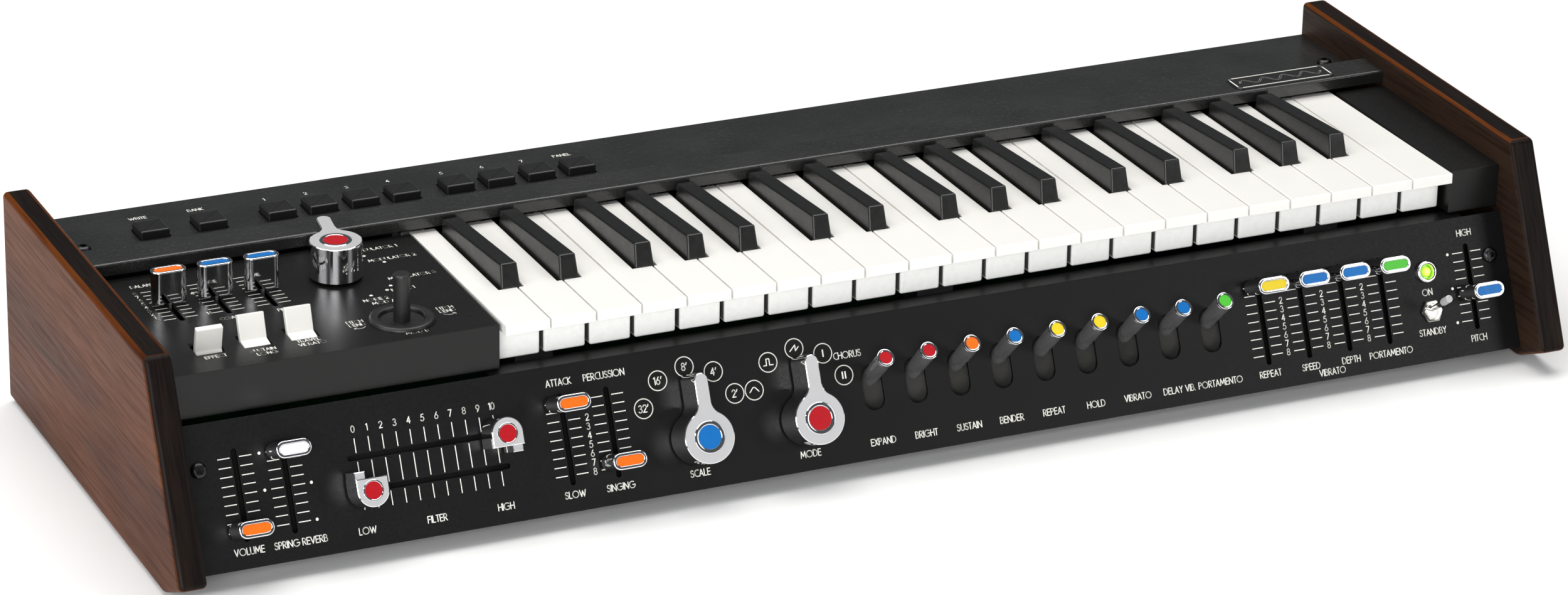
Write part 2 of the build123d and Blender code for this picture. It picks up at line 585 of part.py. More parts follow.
def rotary_knob():
    """A plated pointer knob on its shaft, with a ringed colour insert; the pointer lies along +y."""
    outline = Circle(KNOB_R)
    arm = Pos(0, (POINTER_REACH - POINTER_END_R) / 2)
    outline += arm * Rectangle(2 * POINTER_END_R, POINTER_REACH - POINTER_END_R)
    outline += Pos(0, POINTER_REACH - POINTER_END_R) * Circle(POINTER_END_R)
    body = extrude_up(outline, KNOB_BOTTOM, KNOB_TOP)
    neck = body.edges().filter_by(Axis.Z).sort_by(Axis.Y)
    inner = [edge for edge in neck if abs(edge.center().Y - math.sqrt(KNOB_R ** 2 - POINTER_END_R ** 2)) < 0.5]
    body = fillet(inner, 7.0)
    body -= extrude_up(Circle(KNOB_RING_R), KNOB_TOP - 1.2, KNOB_TOP + 1)
    ring = extrude_up(Circle(KNOB_RING_R - 0.05) - Circle(KNOB_INSERT_R), KNOB_TOP - 1.2, KNOB_TOP + 0.4)
    insert = extrude_up(Circle(KNOB_INSERT_R - 0.05), KNOB_TOP - 1.2, KNOB_TOP - 0.2)
    shaft = extrude_up(Circle(SHAFT_R), -12.0, KNOB_BOTTOM + 4)
    return [body + shaft, ring, insert]


def lever():
    """A plated lever barrel on its pivot, leaning up the panel, with a felted dust shutter."""
    barrel = Cone(LEVER_ROOT_R, LEVER_TIP_R, LEVER_TIP - 4.0)
    barrel = Pos(0, 0, (LEVER_TIP + 4.0) / 2) * barrel
    barrel -= extrude_up(Circle(LEVER_INSERT_R), LEVER_TIP - 0.8, LEVER_TIP + 1)
    root = Rot(0, 90, 0) * Cylinder(3.4, 5.0) + extrude_up(Rectangle(5.0, 5.0), 0, 5.0)
    body = barrel + root - Rot(0, 90, 0) * Cylinder(LEVER_PIN_R + 0.05, 30)
    ring = Circle(SHUTTER_R) - Circle(SHUTTER_R - SHUTTER_THICK)
    reach = 3 * SHUTTER_R
    spread = reach * math.tan(math.radians(SHUTTER_HALF_ANGLE))
    fan = make_face(Polyline((0, 0), (-spread, reach), (spread, reach), close=True))
    side = Plane(origin=(-6.2, 0, 0), x_dir=(0, 1, 0), z_dir=(1, 0, 0))
    shutter = extrude(side * (ring & fan), amount=12.4) - extrude_up(Circle(LEVER_TIP_R), 0, 30)
    insert = extrude_up(Circle(LEVER_INSERT_R - 0.05), LEVER_TIP - 0.8, LEVER_TIP - 0.3)
    lean = Pos(0, 0, LEVER_PIVOT_H) * Rot(-LEVER_TILT, 0, 0)
    return [lean * body, lean * shutter, lean * insert]


def lever_bracket():
    """The fixed bracket and pin that a lever turns on."""
    legs = [block(x - 0.6, x + 0.6, -5, 5, LEVER_PIVOT_H - 7, LEVER_PIVOT_H + 4) for x in (-7.4, 7.4)]
    base = block(-8, 8, -5, 5, LEVER_PIVOT_H - 8.2, LEVER_PIVOT_H - 7)
    bore = Pos(0, 0, LEVER_PIVOT_H) * Rot(0, 90, 0) * Cylinder(LEVER_PIN_R, 30)
    bracket = base + legs - bore
    pin = Pos(0, 0, LEVER_PIVOT_H) * Rot(0, 90, 0) * Cylinder(LEVER_PIN_R, 16.4)
    return [bracket, pin]


def rocker_tab(tilt):
    """A white rocker tab: a blade with a ledge in front, on its pivot, leaning back by tilt degrees."""
    blade = block(-TAB_WIDTH / 2, TAB_WIDTH / 2, -TAB_THICK / 2, TAB_THICK / 2, 0, TAB_BLADE)
    blade_front = -TAB_THICK / 2
    toe = blade_front - TAB_LEDGE
    profile = Polyline((blade_front, 0.3), (blade_front, 5.0), (toe, 1.9), (toe, 0.3), close=True)
    side = Plane(origin=(-TAB_WIDTH / 2, 0, 0), x_dir=(0, 1, 0), z_dir=(1, 0, 0))
    ledge = extrude(side * make_face(profile), amount=TAB_WIDTH)
    hub = Rot(0, 90, 0) * Cylinder(2.6, TAB_WIDTH)
    body = blade + ledge + hub - Rot(0, 90, 0) * Cylinder(LEVER_PIN_R + 0.05, 30)
    return Pos(0, 0, TAB_PIVOT_H) * Rot(-tilt, 0, 0) * body


def joystick():
    """The gimbal ring with its trunnions, and the stick pinned inside it."""
    ring = Box(20, 20, 5) - Box(15, 15, 9)
    trunnions = [Pos(0, y, 0) * Rot(90, 0, 0) * Cylinder(JOY_PIN_R, 4) for y in (-11.5, 11.5)]
    bore = Rot(0, 90, 0) * Cylinder(JOY_PIN_R + 0.05, 30)
    gimbal = Pos(0, 0, JOY_PIVOT_H) * (ring + trunnions - bore)
    shaft = Cylinder(JOY_STICK_R, JOY_TOP - JOY_PIVOT_H)
    shaft = fillet(shaft.edges().group_by(Axis.Z)[-1], 0.9)
    stick = Pos(0, 0, (JOY_TOP + JOY_PIVOT_H) / 2) * shaft + Pos(0, 0, JOY_PIVOT_H) * Sphere(5.4)
    stick += Pos(0, 0, JOY_PIVOT_H) * Rot(0, 90, 0) * Cylinder(JOY_PIN_R, 19.6)
    return gimbal, stick


def preset_button():
    """A square push button on its plunger, drawn about the cover's outer face."""
    cap = extrude_up(RectangleRounded(BUTTON_WIDE, BUTTON_DEEP, 1.0), -3.2, BUTTON_HEIGHT)
    cap = chamfer(cap.edges().group_by(Axis.Z)[-1], 0.5)
    plunger = extrude_up(Rectangle(3.2, 3.2), -6.0, -3.0)
    return cap + plunger


def power_lever():
    """The bat of the power switch on its pinned ball, leaning up the panel."""
    bat_middle = (POWER_BAT_ROOT + POWER_BAT_LENGTH) / 2
    bat = Pos(0, 0, bat_middle) * Cone(POWER_BAT_ROOT_R, POWER_BAT_TIP_R, POWER_BAT_LENGTH - POWER_BAT_ROOT)
    pin = Rot(0, 90, 0) * Cylinder(POWER_PIN_R, 2 * POWER_BALL_R + 0.4)
    return Pos(0, 0, POWER_PIVOT_H) * Rot(-POWER_TILT, 0, 0) * (Sphere(POWER_BALL_R) + bat + pin)


def power_bushing():
    """The threaded bushing and nut of the power switch, with a socket for the bat's ball."""
    barrel = extrude_up(Circle(3.9), -12.0, 1.8)
    nut = extrude_up(RegularPolygon(6.2, 6), 0.0, 1.6)
    bowl = Pos(0, 0, POWER_PIVOT_H) * Sphere(POWER_BALL_R + 0.3)
    mouth = Cone(2.2, 4.0, 8.0)
    return barrel + nut - bowl - mouth


def lamp():
    """The plated bezel and the lens of the power lamp."""
    bezel = extrude_up(Circle(5.6), 0.0, 2.4) + extrude_up(Circle(3.9), -9.0, 0.0)
    bezel -= extrude_up(Circle(3.0), -8.0, 4.0)
    lens = extrude_up(Circle(2.9), -7.8, 0.6) + Pos(0, 0, 0.6) * (Sphere(2.9) & Pos(0, 0, 2) * Box(8, 8, 4))
    return [bezel, lens]


def joystick_bezel():
    """The round guard ring of the joystick."""
    ring = extrude_up(Circle(JOY_BEZEL_R) - Circle(JOY_HOLE_R), 0.0, 2.0)
    ring = fillet(ring.edges().group_by(Axis.Z)[-1].sort_by(SortBy.LENGTH)[-1], 1.2)
    return ring + extrude_up(Circle(JOY_HOLE_R + 1.8) - Circle(JOY_HOLE_R), -3.0, 0.0)


def slider_pot(length):
    """The body of a slide potentiometer, long along y."""
    return extrude_up(Rectangle(POT_WIDTH, length), POT_BOTTOM, POT_TOP)


def rotary_switch():
    """A rotary switch body and bushing, bored for the knob's shaft."""
    body = extrude_up(Circle(12.0), -15.0, -4.0) + extrude_up(Circle(SHAFT_R + 1.4), -4.0, 0.6)
    return body - extrude_up(Circle(SHAFT_R + SHAFT_FIT), -12.5, 2.0)


def control_mechanisms():
    """Fixed bodies behind the controls."""
    slot_middle = (TRAVEL_TOP_S + TRAVEL_BOTTOM_S) / 2
    parts = [on_panel(slider_pot(POT_LENGTH), x, slot_middle) for x, rest_s in FRONT_SLIDERS.values()]
    row_x = (FILTER_LEFT_X + FILTER_RIGHT_X) / 2
    for s in (FILTER_HIGH_S, FILTER_LOW_S):
        parts.append(on_panel(Rot(0, 0, 90) * slider_pot(FILTER_POT_LENGTH), row_x, s))
    upper_middle = (UPPER_SLOT_REAR_Y + UPPER_SLOT_FRONT_Y) / 2
    parts += [on_upper(slider_pot(POT_LENGTH), x, upper_middle) for x in UPPER_SLIDERS.values()]
    parts += [on_panel(rotary_switch(), x, ROTARY_S) for x in (SCALE_X, MODE_X)]
    parts.append(on_upper(rotary_switch(), MODULATOR_X, MODULATOR_Y))
    for i in range(LEVER_COUNT):
        parts += [on_panel(piece, LEVER_FIRST_X + i * LEVER_PITCH, LEVER_S) for piece in lever_bracket()]
    for x, tilt in TABS.values():
        pin = Pos(0, 0, TAB_PIVOT_H) * Rot(0, 90, 0) * Cylinder(LEVER_PIN_R, 21)
        arms = [block(a - 0.7, a + 0.7, -3, 3, TAB_PIVOT_H - 3, -SHEET) for a in (-9, 9)]
        bore = Pos(0, 0, TAB_PIVOT_H) * Rot(0, 90, 0) * Cylinder(LEVER_PIN_R, 30)
        parts += [on_upper(piece, x, TAB_Y) for piece in [pin, *[arm - bore for arm in arms]]]
    housing = Box(34, 34, 16) - Pos(0, 0, 2) * Box(30, 23, 16)
    housing = Pos(0, 0, JOY_PIVOT_H - 1) * housing
    housing -= Pos(0, 0, JOY_PIVOT_H) * Rot(90, 0, 0) * Cylinder(JOY_PIN_R + 0.05, 40)
    parts.append(on_upper(housing, JOY_X, JOY_Y))
    return parts


# ---- boards, fasteners, feet, trim ------------------------------------------------------------------

def circuit_boards():
    """The main board on its standoffs, the preset-button board and a few large components."""
    board_top = BOARD_Z + BOARD_THICK
    main = block(BOARD_LEFT_X, BOARD_RIGHT_X, BOARD_FRONT_Y, BOARD_REAR_Y, BOARD_Z, board_top)
    standoffs = []
    for x in (BOARD_LEFT_X + 10, BOARD_RIGHT_X - 10):
        for y in (BOARD_FRONT_Y + 6, BOARD_REAR_Y - 6):
            standoffs.append(rod(3, (x, y, PAN_BOTTOM + SHEET), (x, y, BOARD_Z)))
    chips = [block(x, x + 22, 20, 42, board_top, board_top + 3.4) for x in CHIP_XS]
    capacitors = [rod(6, (x, 60, board_top), (x, 60, board_top + 18.4)) for x in CAPACITOR_XS]
    middle_x = (BUTTON_XS[0] + BUTTON_XS[-1]) / 2
    button_board = Pos(0, 0, BUTTON_BOARD_H) * Box(BUTTON_BOARD_LENGTH, BUTTON_BOARD_WIDTH, BOARD_THICK)
    return [main, *standoffs, *chips, *capacitors, on_cover(button_board, middle_x, BUTTON_Y)]


def socket_screw(head_r):
    """A round-headed socket screw along -z, its head above the origin."""
    head = extrude_up(Circle(head_r), 0, head_r * 0.6)
    head = fillet(head.edges().group_by(Axis.Z)[-1], head_r * 0.35)
    head -= extrude_up(RegularPolygon(head_r * 0.42, 6), head_r * 0.25, head_r)
    return head + extrude_up(Circle(head_r * 0.5), -6, 0)


def screws():
    """Every fastener that shows: panel, cover, floor and cheek screws."""
    small = socket_screw(PANEL_SCREW_R)
    floor = socket_screw(FLOOR_SCREW_R)
    parts = []
    for side in (-1, 1):
        parts.append(on_panel(small, side * PANEL_SCREW_X, PANEL_SCREW_S))
        parts.append(on_cover(small, side * COVER_SCREW_X, COVER_SCREW_Y))
        parts.append(Pos(side * REAR_SCREW_X, REAR_WALL_Y + SHEET, REAR_SCREW_Z) * Rot(-90, 0, 0) * floor)
    for x in FLOOR_SCREW_XS:
        for y in FLOOR_SCREW_YS:
            parts.append(Pos(x, y, PAN_BOTTOM) * Rot(180, 0, 0) * floor)
    return parts


def rubber_feet():
    """Four round rubber feet with a flat under-face."""
    foot = Cone(FOOT_R - 1.2, FOOT_R, PAN_BOTTOM)
    return [Pos(x, y, PAN_BOTTOM / 2) * foot for x in (-FOOT_X, FOOT_X) for y in (FOOT_FRONT_Y, FOOT_REAR_Y)]


def trim_fittings():
    """Small plated pieces: nameplate blank, lamp, power-switch bushing, joystick guard."""
    plate = extrude_up(RectangleRounded(PLATE_LENGTH, PLATE_WIDTH, 2.6), 0.0, PLATE_THICK)
    plate = Pos(PLATE_X, PLATE_Y, LIP_STRIP_Z) * plate
    pieces = [plate, on_panel(power_bushing(), LAMP_X, POWER_S), on_upper(joystick_bezel(), JOY_X, JOY_Y)]
    pieces += [on_panel(piece, LAMP_X, LAMP_S) for piece in lamp()]
    return pieces


save("left_cheek", cheek(-1))
save("right_cheek", cheek(1))
fasteners = screws()
save("front_panel", front_panel() - fasteners)
save("bottom_pan", bottom_pan() - fasteners)
save("top_cover", top_cover() - fasteners)
save("upper_left_panel", upper_left_panel())
save("right_block", right_block())
save("key_frame", *key_frame())
save("circuit_boards", *circuit_boards())
save("control_mechanisms", *control_mechanisms())
save("rear_jacks", *rear_jacks())
save("rubber_feet", *rubber_feet())
save("screws", *fasteners)
save("trim_fittings", *trim_fittings())
for note, keys in keyboard().items():
    save(f"key_{note}", *keys)
for name, (x, rest_s) in FRONT_SLIDERS.items():
    save(name, *[on_panel(piece, x, rest_s) for piece in slider()])
for name, x in UPPER_SLIDERS.items():
    save(name, *[on_upper(piece, x, UPPER_SLIDER_Y) for piece in slider()])
save("filter_low_slider", *[on_panel(piece, FILTER_LEFT_X, FILTER_LOW_S) for piece in filter_slider(False)])
save("filter_high_slider", *[on_panel(piece, FILTER_RIGHT_X, FILTER_HIGH_S) for piece in filter_slider(True)])
save("scale_knob", *[on_panel(piece, SCALE_X, ROTARY_S) for piece in rotary_knob()])
save("mode_knob", *[on_panel(piece, MODE_X, ROTARY_S) for piece in rotary_knob()])
save("modulator_knob", *[on_upper(piece, MODULATOR_X, MODULATOR_Y) for piece in rotary_knob()])
for i, name in enumerate(LEVER_NAMES):
    save(f"{name}_lever", *[on_panel(piece, LEVER_FIRST_X + i * LEVER_PITCH, LEVER_S) for piece in lever()])
for name, (x, tilt) in TABS.items():
    save(name, on_upper(rocker_tab(tilt), x, TAB_Y))
gimbal, stick = joystick()
save("joystick_gimbal", on_upper(gimbal, JOY_X, JOY_Y))
save("joystick_stick", on_upper(stick, JOY_X, JOY_Y))
button = preset_button()
save("memory_buttons", *[on_cover(button, x, BUTTON_Y) for x in BUTTON_XS[:2]])
save("preset_buttons", *[on_cover(button, x, BUTTON_Y) for x in BUTTON_XS[2:]])
save("power_switch", on_panel(power_lever(), LAMP_X, POWER_S))
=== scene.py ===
import math

import bmesh
import bpy
from mathutils import Matrix, Vector


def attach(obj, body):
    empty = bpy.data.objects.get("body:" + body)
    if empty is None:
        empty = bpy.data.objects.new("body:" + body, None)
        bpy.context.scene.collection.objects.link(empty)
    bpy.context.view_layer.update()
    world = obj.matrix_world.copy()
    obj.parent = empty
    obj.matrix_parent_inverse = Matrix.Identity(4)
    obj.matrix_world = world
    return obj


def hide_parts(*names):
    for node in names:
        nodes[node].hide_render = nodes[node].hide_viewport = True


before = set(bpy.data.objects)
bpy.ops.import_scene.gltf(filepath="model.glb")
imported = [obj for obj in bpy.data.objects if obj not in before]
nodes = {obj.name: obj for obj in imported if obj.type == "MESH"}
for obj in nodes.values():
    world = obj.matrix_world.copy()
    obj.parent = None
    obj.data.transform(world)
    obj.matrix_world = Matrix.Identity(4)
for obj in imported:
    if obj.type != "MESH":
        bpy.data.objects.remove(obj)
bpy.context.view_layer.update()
MM = 0.001

# ---- the case's planes and main sizes, in millimetres ----
WIDTH = 744.0
CHEEK_THICK = 14.2
INNER_HALF = WIDTH / 2 - CHEEK_THICK
SLANT = math.radians(24.7)
SLANT_SIN = math.sin(SLANT)
SLANT_COS = math.cos(SLANT)
CHEEK_TOP = 113.0
CHEEK_BOTTOM = 2.2
CHEEK_TOP_FRONT_Y = -86.5
CHEEK_FRONT_LENGTH = 109.2
CHEEK_REAR_Y = 131.3
CHEEK_ROUND = 2.6
PANEL_SET_BACK = 21.0
UPPER_Z = 97.2
STEP_Y = 61.8
COVER_STEP_Z = 96.7
COVER_REAR_Z = 95.2
REAR_WALL_Y = 127.0
COVER_FALL = math.atan2(COVER_STEP_Z - COVER_REAR_Z, REAR_WALL_Y - STEP_Y)
LIP_STRIP_Z = 105.4

PANEL_ORIGIN = (0, CHEEK_TOP_FRONT_Y + PANEL_SET_BACK * SLANT_COS, CHEEK_TOP - PANEL_SET_BACK * SLANT_SIN)


def plane(origin, turn):
    """The matrix of a working plane that faces up, turned about x by an angle."""
    return Matrix.Translation(origin) @ Matrix.Rotation(turn, 4, "X")


PANEL = plane(PANEL_ORIGIN, math.pi / 2 - SLANT)
UPPER = plane((0, 0, UPPER_Z), 0)
COVER = plane((0, STEP_Y, COVER_STEP_Z), -COVER_FALL)
STRIP = plane((0, 0, LIP_STRIP_Z), 0)


def on_panel(x, s, h=0.0):
    return PANEL @ Matrix.Translation((x, -s, h))


def on_upper(x, y, h=0.0):
    return UPPER @ Matrix.Translation((x, y, h))


def on_cover(x, y, h=0.0):
    return COVER @ Matrix.Translation((x, (y - STEP_Y) / math.cos(COVER_FALL), h))


# ---- materials ----

def new_material(name):
    """An empty material: its node tree, Principled shader and object coordinates."""
    material = bpy.data.materials.new(name)
    material.use_nodes = True
    tree = material.node_tree
    shader = tree.nodes["Principled BSDF"]
    coords = tree.nodes.new("ShaderNodeTexCoord").outputs["Object"]
    return material, tree, shader, coords


def set_inputs(node, **values):
    """Set constants on a node's sockets; an underscore stands for a space in a socket's name."""
    for name, value in values.items():
        node.inputs[name.replace("_", " ")].default_value = value


def noise(tree, coords, scale, detail=3.0, stretch=None, roughness=0.5, distortion=0.0):
    """A noise texture's value over the object's coordinates, in metres; stretch scales the axes apart."""
    source = coords
    if stretch:
        mapping = tree.nodes.new("ShaderNodeMapping")
        set_inputs(mapping, Scale=stretch)
        tree.links.new(coords, mapping.inputs["Vector"])
        source = mapping.outputs["Vector"]
    texture = tree.nodes.new("ShaderNodeTexNoise")
    set_inputs(texture, Scale=scale, Detail=detail, Roughness=roughness, Distortion=distortion)
    tree.links.new(source, texture.inputs["Vector"])
    return texture.outputs["Fac"]


def ramp(tree, value, stops):
    """A colour ramp over a value; stops are (place, colour)."""
    node = tree.nodes.new("ShaderNodeValToRGB")
    while len(node.color_ramp.elements) < len(stops):
        node.color_ramp.elements.new(0.5)
    for element, (place, colour) in zip(node.color_ramp.elements, stops):
        element.position = place
        element.color = (*colour, 1.0)
    tree.links.new(value, node.inputs["Fac"])
    return node.outputs["Color"]


def spread(tree, value, low, high):
    """Map a noise value to low..high."""
    node = tree.nodes.new("ShaderNodeMapRange")
    set_inputs(node, From_Min=0.3, From_Max=0.7, To_Min=low, To_Max=high)
    tree.links.new(value, node.inputs["Value"])
    return node.outputs["Result"]


def bump(tree, shader, value, strength, depth_mm, normal=None):
    node = tree.nodes.new("ShaderNodeBump")
    set_inputs(node, Strength=strength, Distance=depth_mm * MM)
    tree.links.new(value, node.inputs["Height"])
    if normal is not None:
        tree.links.new(normal, node.inputs["Normal"])
    tree.links.new(node.outputs["Normal"], shader.inputs["Normal"])


def soft_edges(tree, radius_mm):
    """A shading normal that rounds a sheet's sharp edges slightly."""
    node = tree.nodes.new("ShaderNodeBevel")
    node.samples = 4
    set_inputs(node, Radius=radius_mm * MM)
    return node.outputs["Normal"]


def finish(name, colour, rough, vary=0.06, metal=0.0, coat=0.0, coat_rough=0.08, grain=900.0, tint=0.06,
           bump_depth=0.0, bump_scale=1500.0, edges=0.0, sheen=0.0, specular=0.5):
    """A material with a little colour drift, uneven gloss and fine surface texture."""
    material, tree, shader, coords = new_material(name)
    link = tree.links.new
    set_inputs(shader, Metallic=metal, Coat_Weight=coat, Coat_Roughness=coat_rough, Sheen_Weight=sheen,
               Specular_IOR_Level=specular)
    low = tuple(c * (1 - tint) for c in colour)
    high = tuple(min(1.0, c * (1 + tint)) for c in colour)
    drift = noise(tree, coords, 25.0, 4.0)
    link(ramp(tree, drift, [(0.3, low), (0.7, high)]), shader.inputs["Base Color"])
    gloss = noise(tree, coords, grain, 2.0)
    link(spread(tree, gloss, rough - vary, rough + vary), shader.inputs["Roughness"])
    normal = soft_edges(tree, edges) if edges else None
    if bump_depth:
        bump(tree, shader, noise(tree, coords, bump_scale, 2.0), 0.5, bump_depth, normal)
    elif normal is not None:
        link(normal, shader.inputs["Normal"])
    return material


def wood(name, dark, mid, light, pore, rough, figure, pores):
    """Oiled wood; figure and pores are the stretches of the growth figure and of the pores."""
    material, tree, shader, coords = new_material(name)
    link = tree.links.new
    drift = noise(tree, coords, 1.0, 5.0, figure, 0.55, 0.9)
    body = ramp(tree, drift, [(0.30, dark), (0.48, mid), (0.72, light)])
    fibre = noise(tree, coords, 1.0, 4.0, pores, 0.6)
    lines = ramp(tree, fibre, [(0.36, pore), (0.52, (1.0, 1.0, 1.0))])
    mix = tree.nodes.new("ShaderNodeMix")
    mix.data_type = "RGBA"
    mix.blend_type = "MULTIPLY"
    set_inputs(mix, Factor=0.85)
    link(body, mix.inputs["A"])
    link(lines, mix.inputs["B"])
    link(mix.outputs["Result"], shader.inputs["Base Color"])
    link(spread(tree, fibre, rough + 0.08, rough - 0.05), shader.inputs["Roughness"])
    set_inputs(shader, Specular_IOR_Level=0.08)
    bump(tree, shader, fibre, 0.3, 0.05)
    return material


def leatherette(name):
    """Black coated steel with a fine leather grain."""
    material, tree, shader, coords = new_material(name)
    link = tree.links.new
    cells = tree.nodes.new("ShaderNodeTexVoronoi")
    cells.feature = "DISTANCE_TO_EDGE"
    set_inputs(cells, Scale=720.0)
    warp = tree.nodes.new("ShaderNodeTexNoise")
    set_inputs(warp, Scale=300.0)
    bend = tree.nodes.new("ShaderNodeMix")
    bend.data_type = "VECTOR"
    set_inputs(bend, Factor=0.004)
    link(coords, warp.inputs["Vector"])
    link(coords, bend.inputs["A"])
    link(warp.outputs["Color"], bend.inputs["B"])
    link(bend.outputs["Result"], cells.inputs["Vector"])
    drift = noise(tree, coords, 30.0, 4.0)
    blacks = [(0.3, (0.0075, 0.0075, 0.0073)), (0.7, (0.012, 0.012, 0.0115))]
    link(ramp(tree, drift, blacks), shader.inputs["Base Color"])
    link(spread(tree, drift, 0.30, 0.38), shader.inputs["Roughness"])
    set_inputs(shader, Coat_Weight=0.6, Coat_Roughness=0.2)
    hills = ramp(tree, cells.outputs["Distance"], [(0.0, (0.0, 0.0, 0.0)), (0.35, (1.0, 1.0, 1.0))])
    bump(tree, shader, hills, 0.8, 0.10, soft_edges(tree, 0.6))
    return material


# The front and upper panels have one real paint, made here in two copies. The front panel's copy is darker
# and less glossy, which is painted shade. The upper panels' copy is lighter and glossier, which is painted
# light and sheen.
PANEL_SHADED_PAINT = finish("panel_shaded_paint", (0.0036, 0.0036, 0.0039), 0.42, 0.05, edges=0.4, specular=0.26)
UPPER_LIT_PAINT = finish("upper_lit_paint", (0.0055, 0.0054, 0.0052), 0.34, 0.04, edges=0.5, specular=0.32)
COVER_SKIN = leatherette("cover_skin")
STEEL_PAINT = finish("steel_paint", (0.02, 0.02, 0.021), 0.42, bump_depth=0.02, edges=0.3)
ZINC = finish("zinc", (0.42, 0.42, 0.43), 0.42, 0.1, metal=1.0, tint=0.15)
MECHANISM = finish("mechanism", (0.010, 0.010, 0.010), 0.6, 0.1, tint=0.3, specular=0.2)
BOARD = finish("board_green", (0.02, 0.12, 0.05), 0.4, 0.1, tint=0.2)
BLACK_PLASTIC = finish("black_plastic", (0.009, 0.009, 0.0095), 0.40, 0.06, bump_depth=0.006)
BUTTON_PLASTIC = finish("button_plastic", (0.008, 0.008, 0.008), 0.36, 0.05, edges=0.3)
RUBBER = finish("rubber", (0.014, 0.014, 0.014), 0.75, 0.08, bump_depth=0.05)
CHROME = finish("chrome", (0.80, 0.80, 0.82), 0.06, 0.02, metal=1.0, tint=0.02, grain=300.0)
DARK_CHROME = finish("dark_chrome", (0.30, 0.30, 0.31), 0.24, 0.03, metal=0.8, tint=0.05, grain=300.0)
NICKEL = finish("nickel", (0.48, 0.46, 0.42), 0.18, 0.03, metal=1.0, tint=0.05, grain=300.0)
SATIN = finish("satin_metal", (0.60, 0.60, 0.61), 0.40, 0.03, metal=0.45, tint=0.02, grain=1500.0)
BLACK_OXIDE = finish("black_oxide", (0.05, 0.05, 0.052), 0.32, 0.08, metal=1.0, tint=0.2)
IVORY = finish("key_ivory", (0.88, 0.865, 0.83), 0.12, 0.02, coat=0.4, coat_rough=0.05, tint=0.01, grain=80.0)
IVORY_BOX = finish("key_front", (0.86, 0.86, 0.84), 0.28, 0.04, tint=0.012, grain=200.0)
# A dark ivory for the side walls of the key boxes. It is painted shade that stands for the shadow in the gaps
# between the keys.
SIDE_SHADE_IVORY = finish("side_shade_ivory", (0.10, 0.098, 0.092), 0.6, 0.05, tint=0.05, specular=0.2)
EBONY = finish("key_ebony", (0.0075, 0.0075, 0.0073), 0.30, 0.04, grain=300.0)
FELT = finish("felt", (0.022, 0.021, 0.019), 0.95, 0.03, tint=0.6, bump_depth=0.3, bump_scale=2600.0,
              sheen=0.2)
INK = finish("white_ink", (0.86, 0.85, 0.79), 0.55, 0.05, tint=0.05)
TAB_WHITE = finish("tab_white", (0.80, 0.79, 0.75), 0.22, 0.03, coat=0.2, tint=0.015, grain=150.0)
PLATE_BLACK = finish("plate_black", (0.012, 0.012, 0.0125), 0.3, tint=0.1)
COLOURS = {
    "orange": (0.90, 0.145, 0.008),
    "white": (0.78, 0.78, 0.82),
    "yellow": (0.74, 0.56, 0.020),
    "blue": (0.004, 0.135, 0.43),
    "green": (0.075, 0.47, 0.040),
    "red": (0.40, 0.006, 0.012),
}
INSERTS = {name: finish("insert_" + name, colour, 0.34, 0.04, tint=0.03, grain=400.0, specular=0.3)
           for name, colour in COLOURS.items()}
WALNUT = wood("walnut", (0.038, 0.0085, 0.0012), (0.078, 0.0190, 0.0026), (0.112, 0.0300, 0.0045),
              (0.60, 0.52, 0.44), 0.42, (10.0, 4.0, 30.0), (600.0, 22.0, 640.0))
# A much darker walnut for the cheeks' inner faces. It is painted shade on the faces that turn inwards.
INNER_SHADE_WOOD = wood("inner_shade_wood", (0.012, 0.0065, 0.0045), (0.022, 0.012, 0.008), (0.034, 0.019, 0.012),
                  (0.5, 0.45, 0.42), 0.45, (10.0, 4.0, 34.0), (600.0, 22.0, 640.0))
EDGE_WOOD = wood("edge_wood", (0.005, 0.0038, 0.0034), (0.009, 0.006, 0.005), (0.016, 0.010, 0.007),
                 (0.35, 0.3, 0.3), 0.40, (160.0, 10.0, 10.0), (1600.0, 40.0, 40.0))


def lamp_glow():
    """The lit lens: a hot yellow-green centre that falls to green at the rim."""
    material, tree, shader, coords = new_material("lamp_glow")
    link = tree.links.new
    ball = tree.nodes.new("ShaderNodeVectorMath")
    ball.operation = "LENGTH"
    link(coords, ball.inputs[0])
    reach = tree.nodes.new("ShaderNodeMapRange")
    set_inputs(reach, From_Min=0.0006, From_Max=0.0034)
    link(ball.outputs["Value"], reach.inputs["Value"])
    stops = [(0.0, (0.85, 1.0, 0.25)), (0.4, (0.50, 0.90, 0.04)), (1.0, (0.10, 0.40, 0.01))]
    colour = ramp(tree, reach.outputs["Result"], stops)
    link(colour, shader.inputs["Base Color"])
    link(colour, shader.inputs["Emission Color"])
    set_inputs(shader, Emission_Strength=0.9, Roughness=0.12)
    return material


LAMP_GLOW = lamp_glow()


# ---- shells: a shell is (vertices, faces), in millimetres ----

def circle(radius, count=40):
    return [(radius * math.cos(2 * math.pi * i / count), radius * math.sin(2 * math.pi * i / count))
            for i in range(count)]


def bow(cx, cy, rx, ry, start, end, count=10):
    """Points on an elliptical arc, angles in degrees."""
    points = []
    for i in range(count + 1):
        angle = math.radians(start + (end - start) * i / count)
        points.append((cx + rx * math.cos(angle), cy + ry * math.sin(angle)))
    return points


def arc(cx, cy, radius, start, end, count=8):
    return bow(cx, cy, radius, radius, start, end, count)


def oblong(length, width, count=10):
    """A slot outline that is long along x."""
    radius = width / 2
    reach = length / 2 - radius
    return arc(reach, 0, radius, -90, 90, count) + arc(-reach, 0, radius, 90, 270, count)


def rounded(length, width, radius, count=5):
    x = length / 2 - radius
    y = width / 2 - radius
    return (arc(x, -y, radius, -90, 0, count) + arc(x, y, radius, 0, 90, count)
            + arc(-x, y, radius, 90, 180, count) + arc(-x, -y, radius, 180, 270, count))


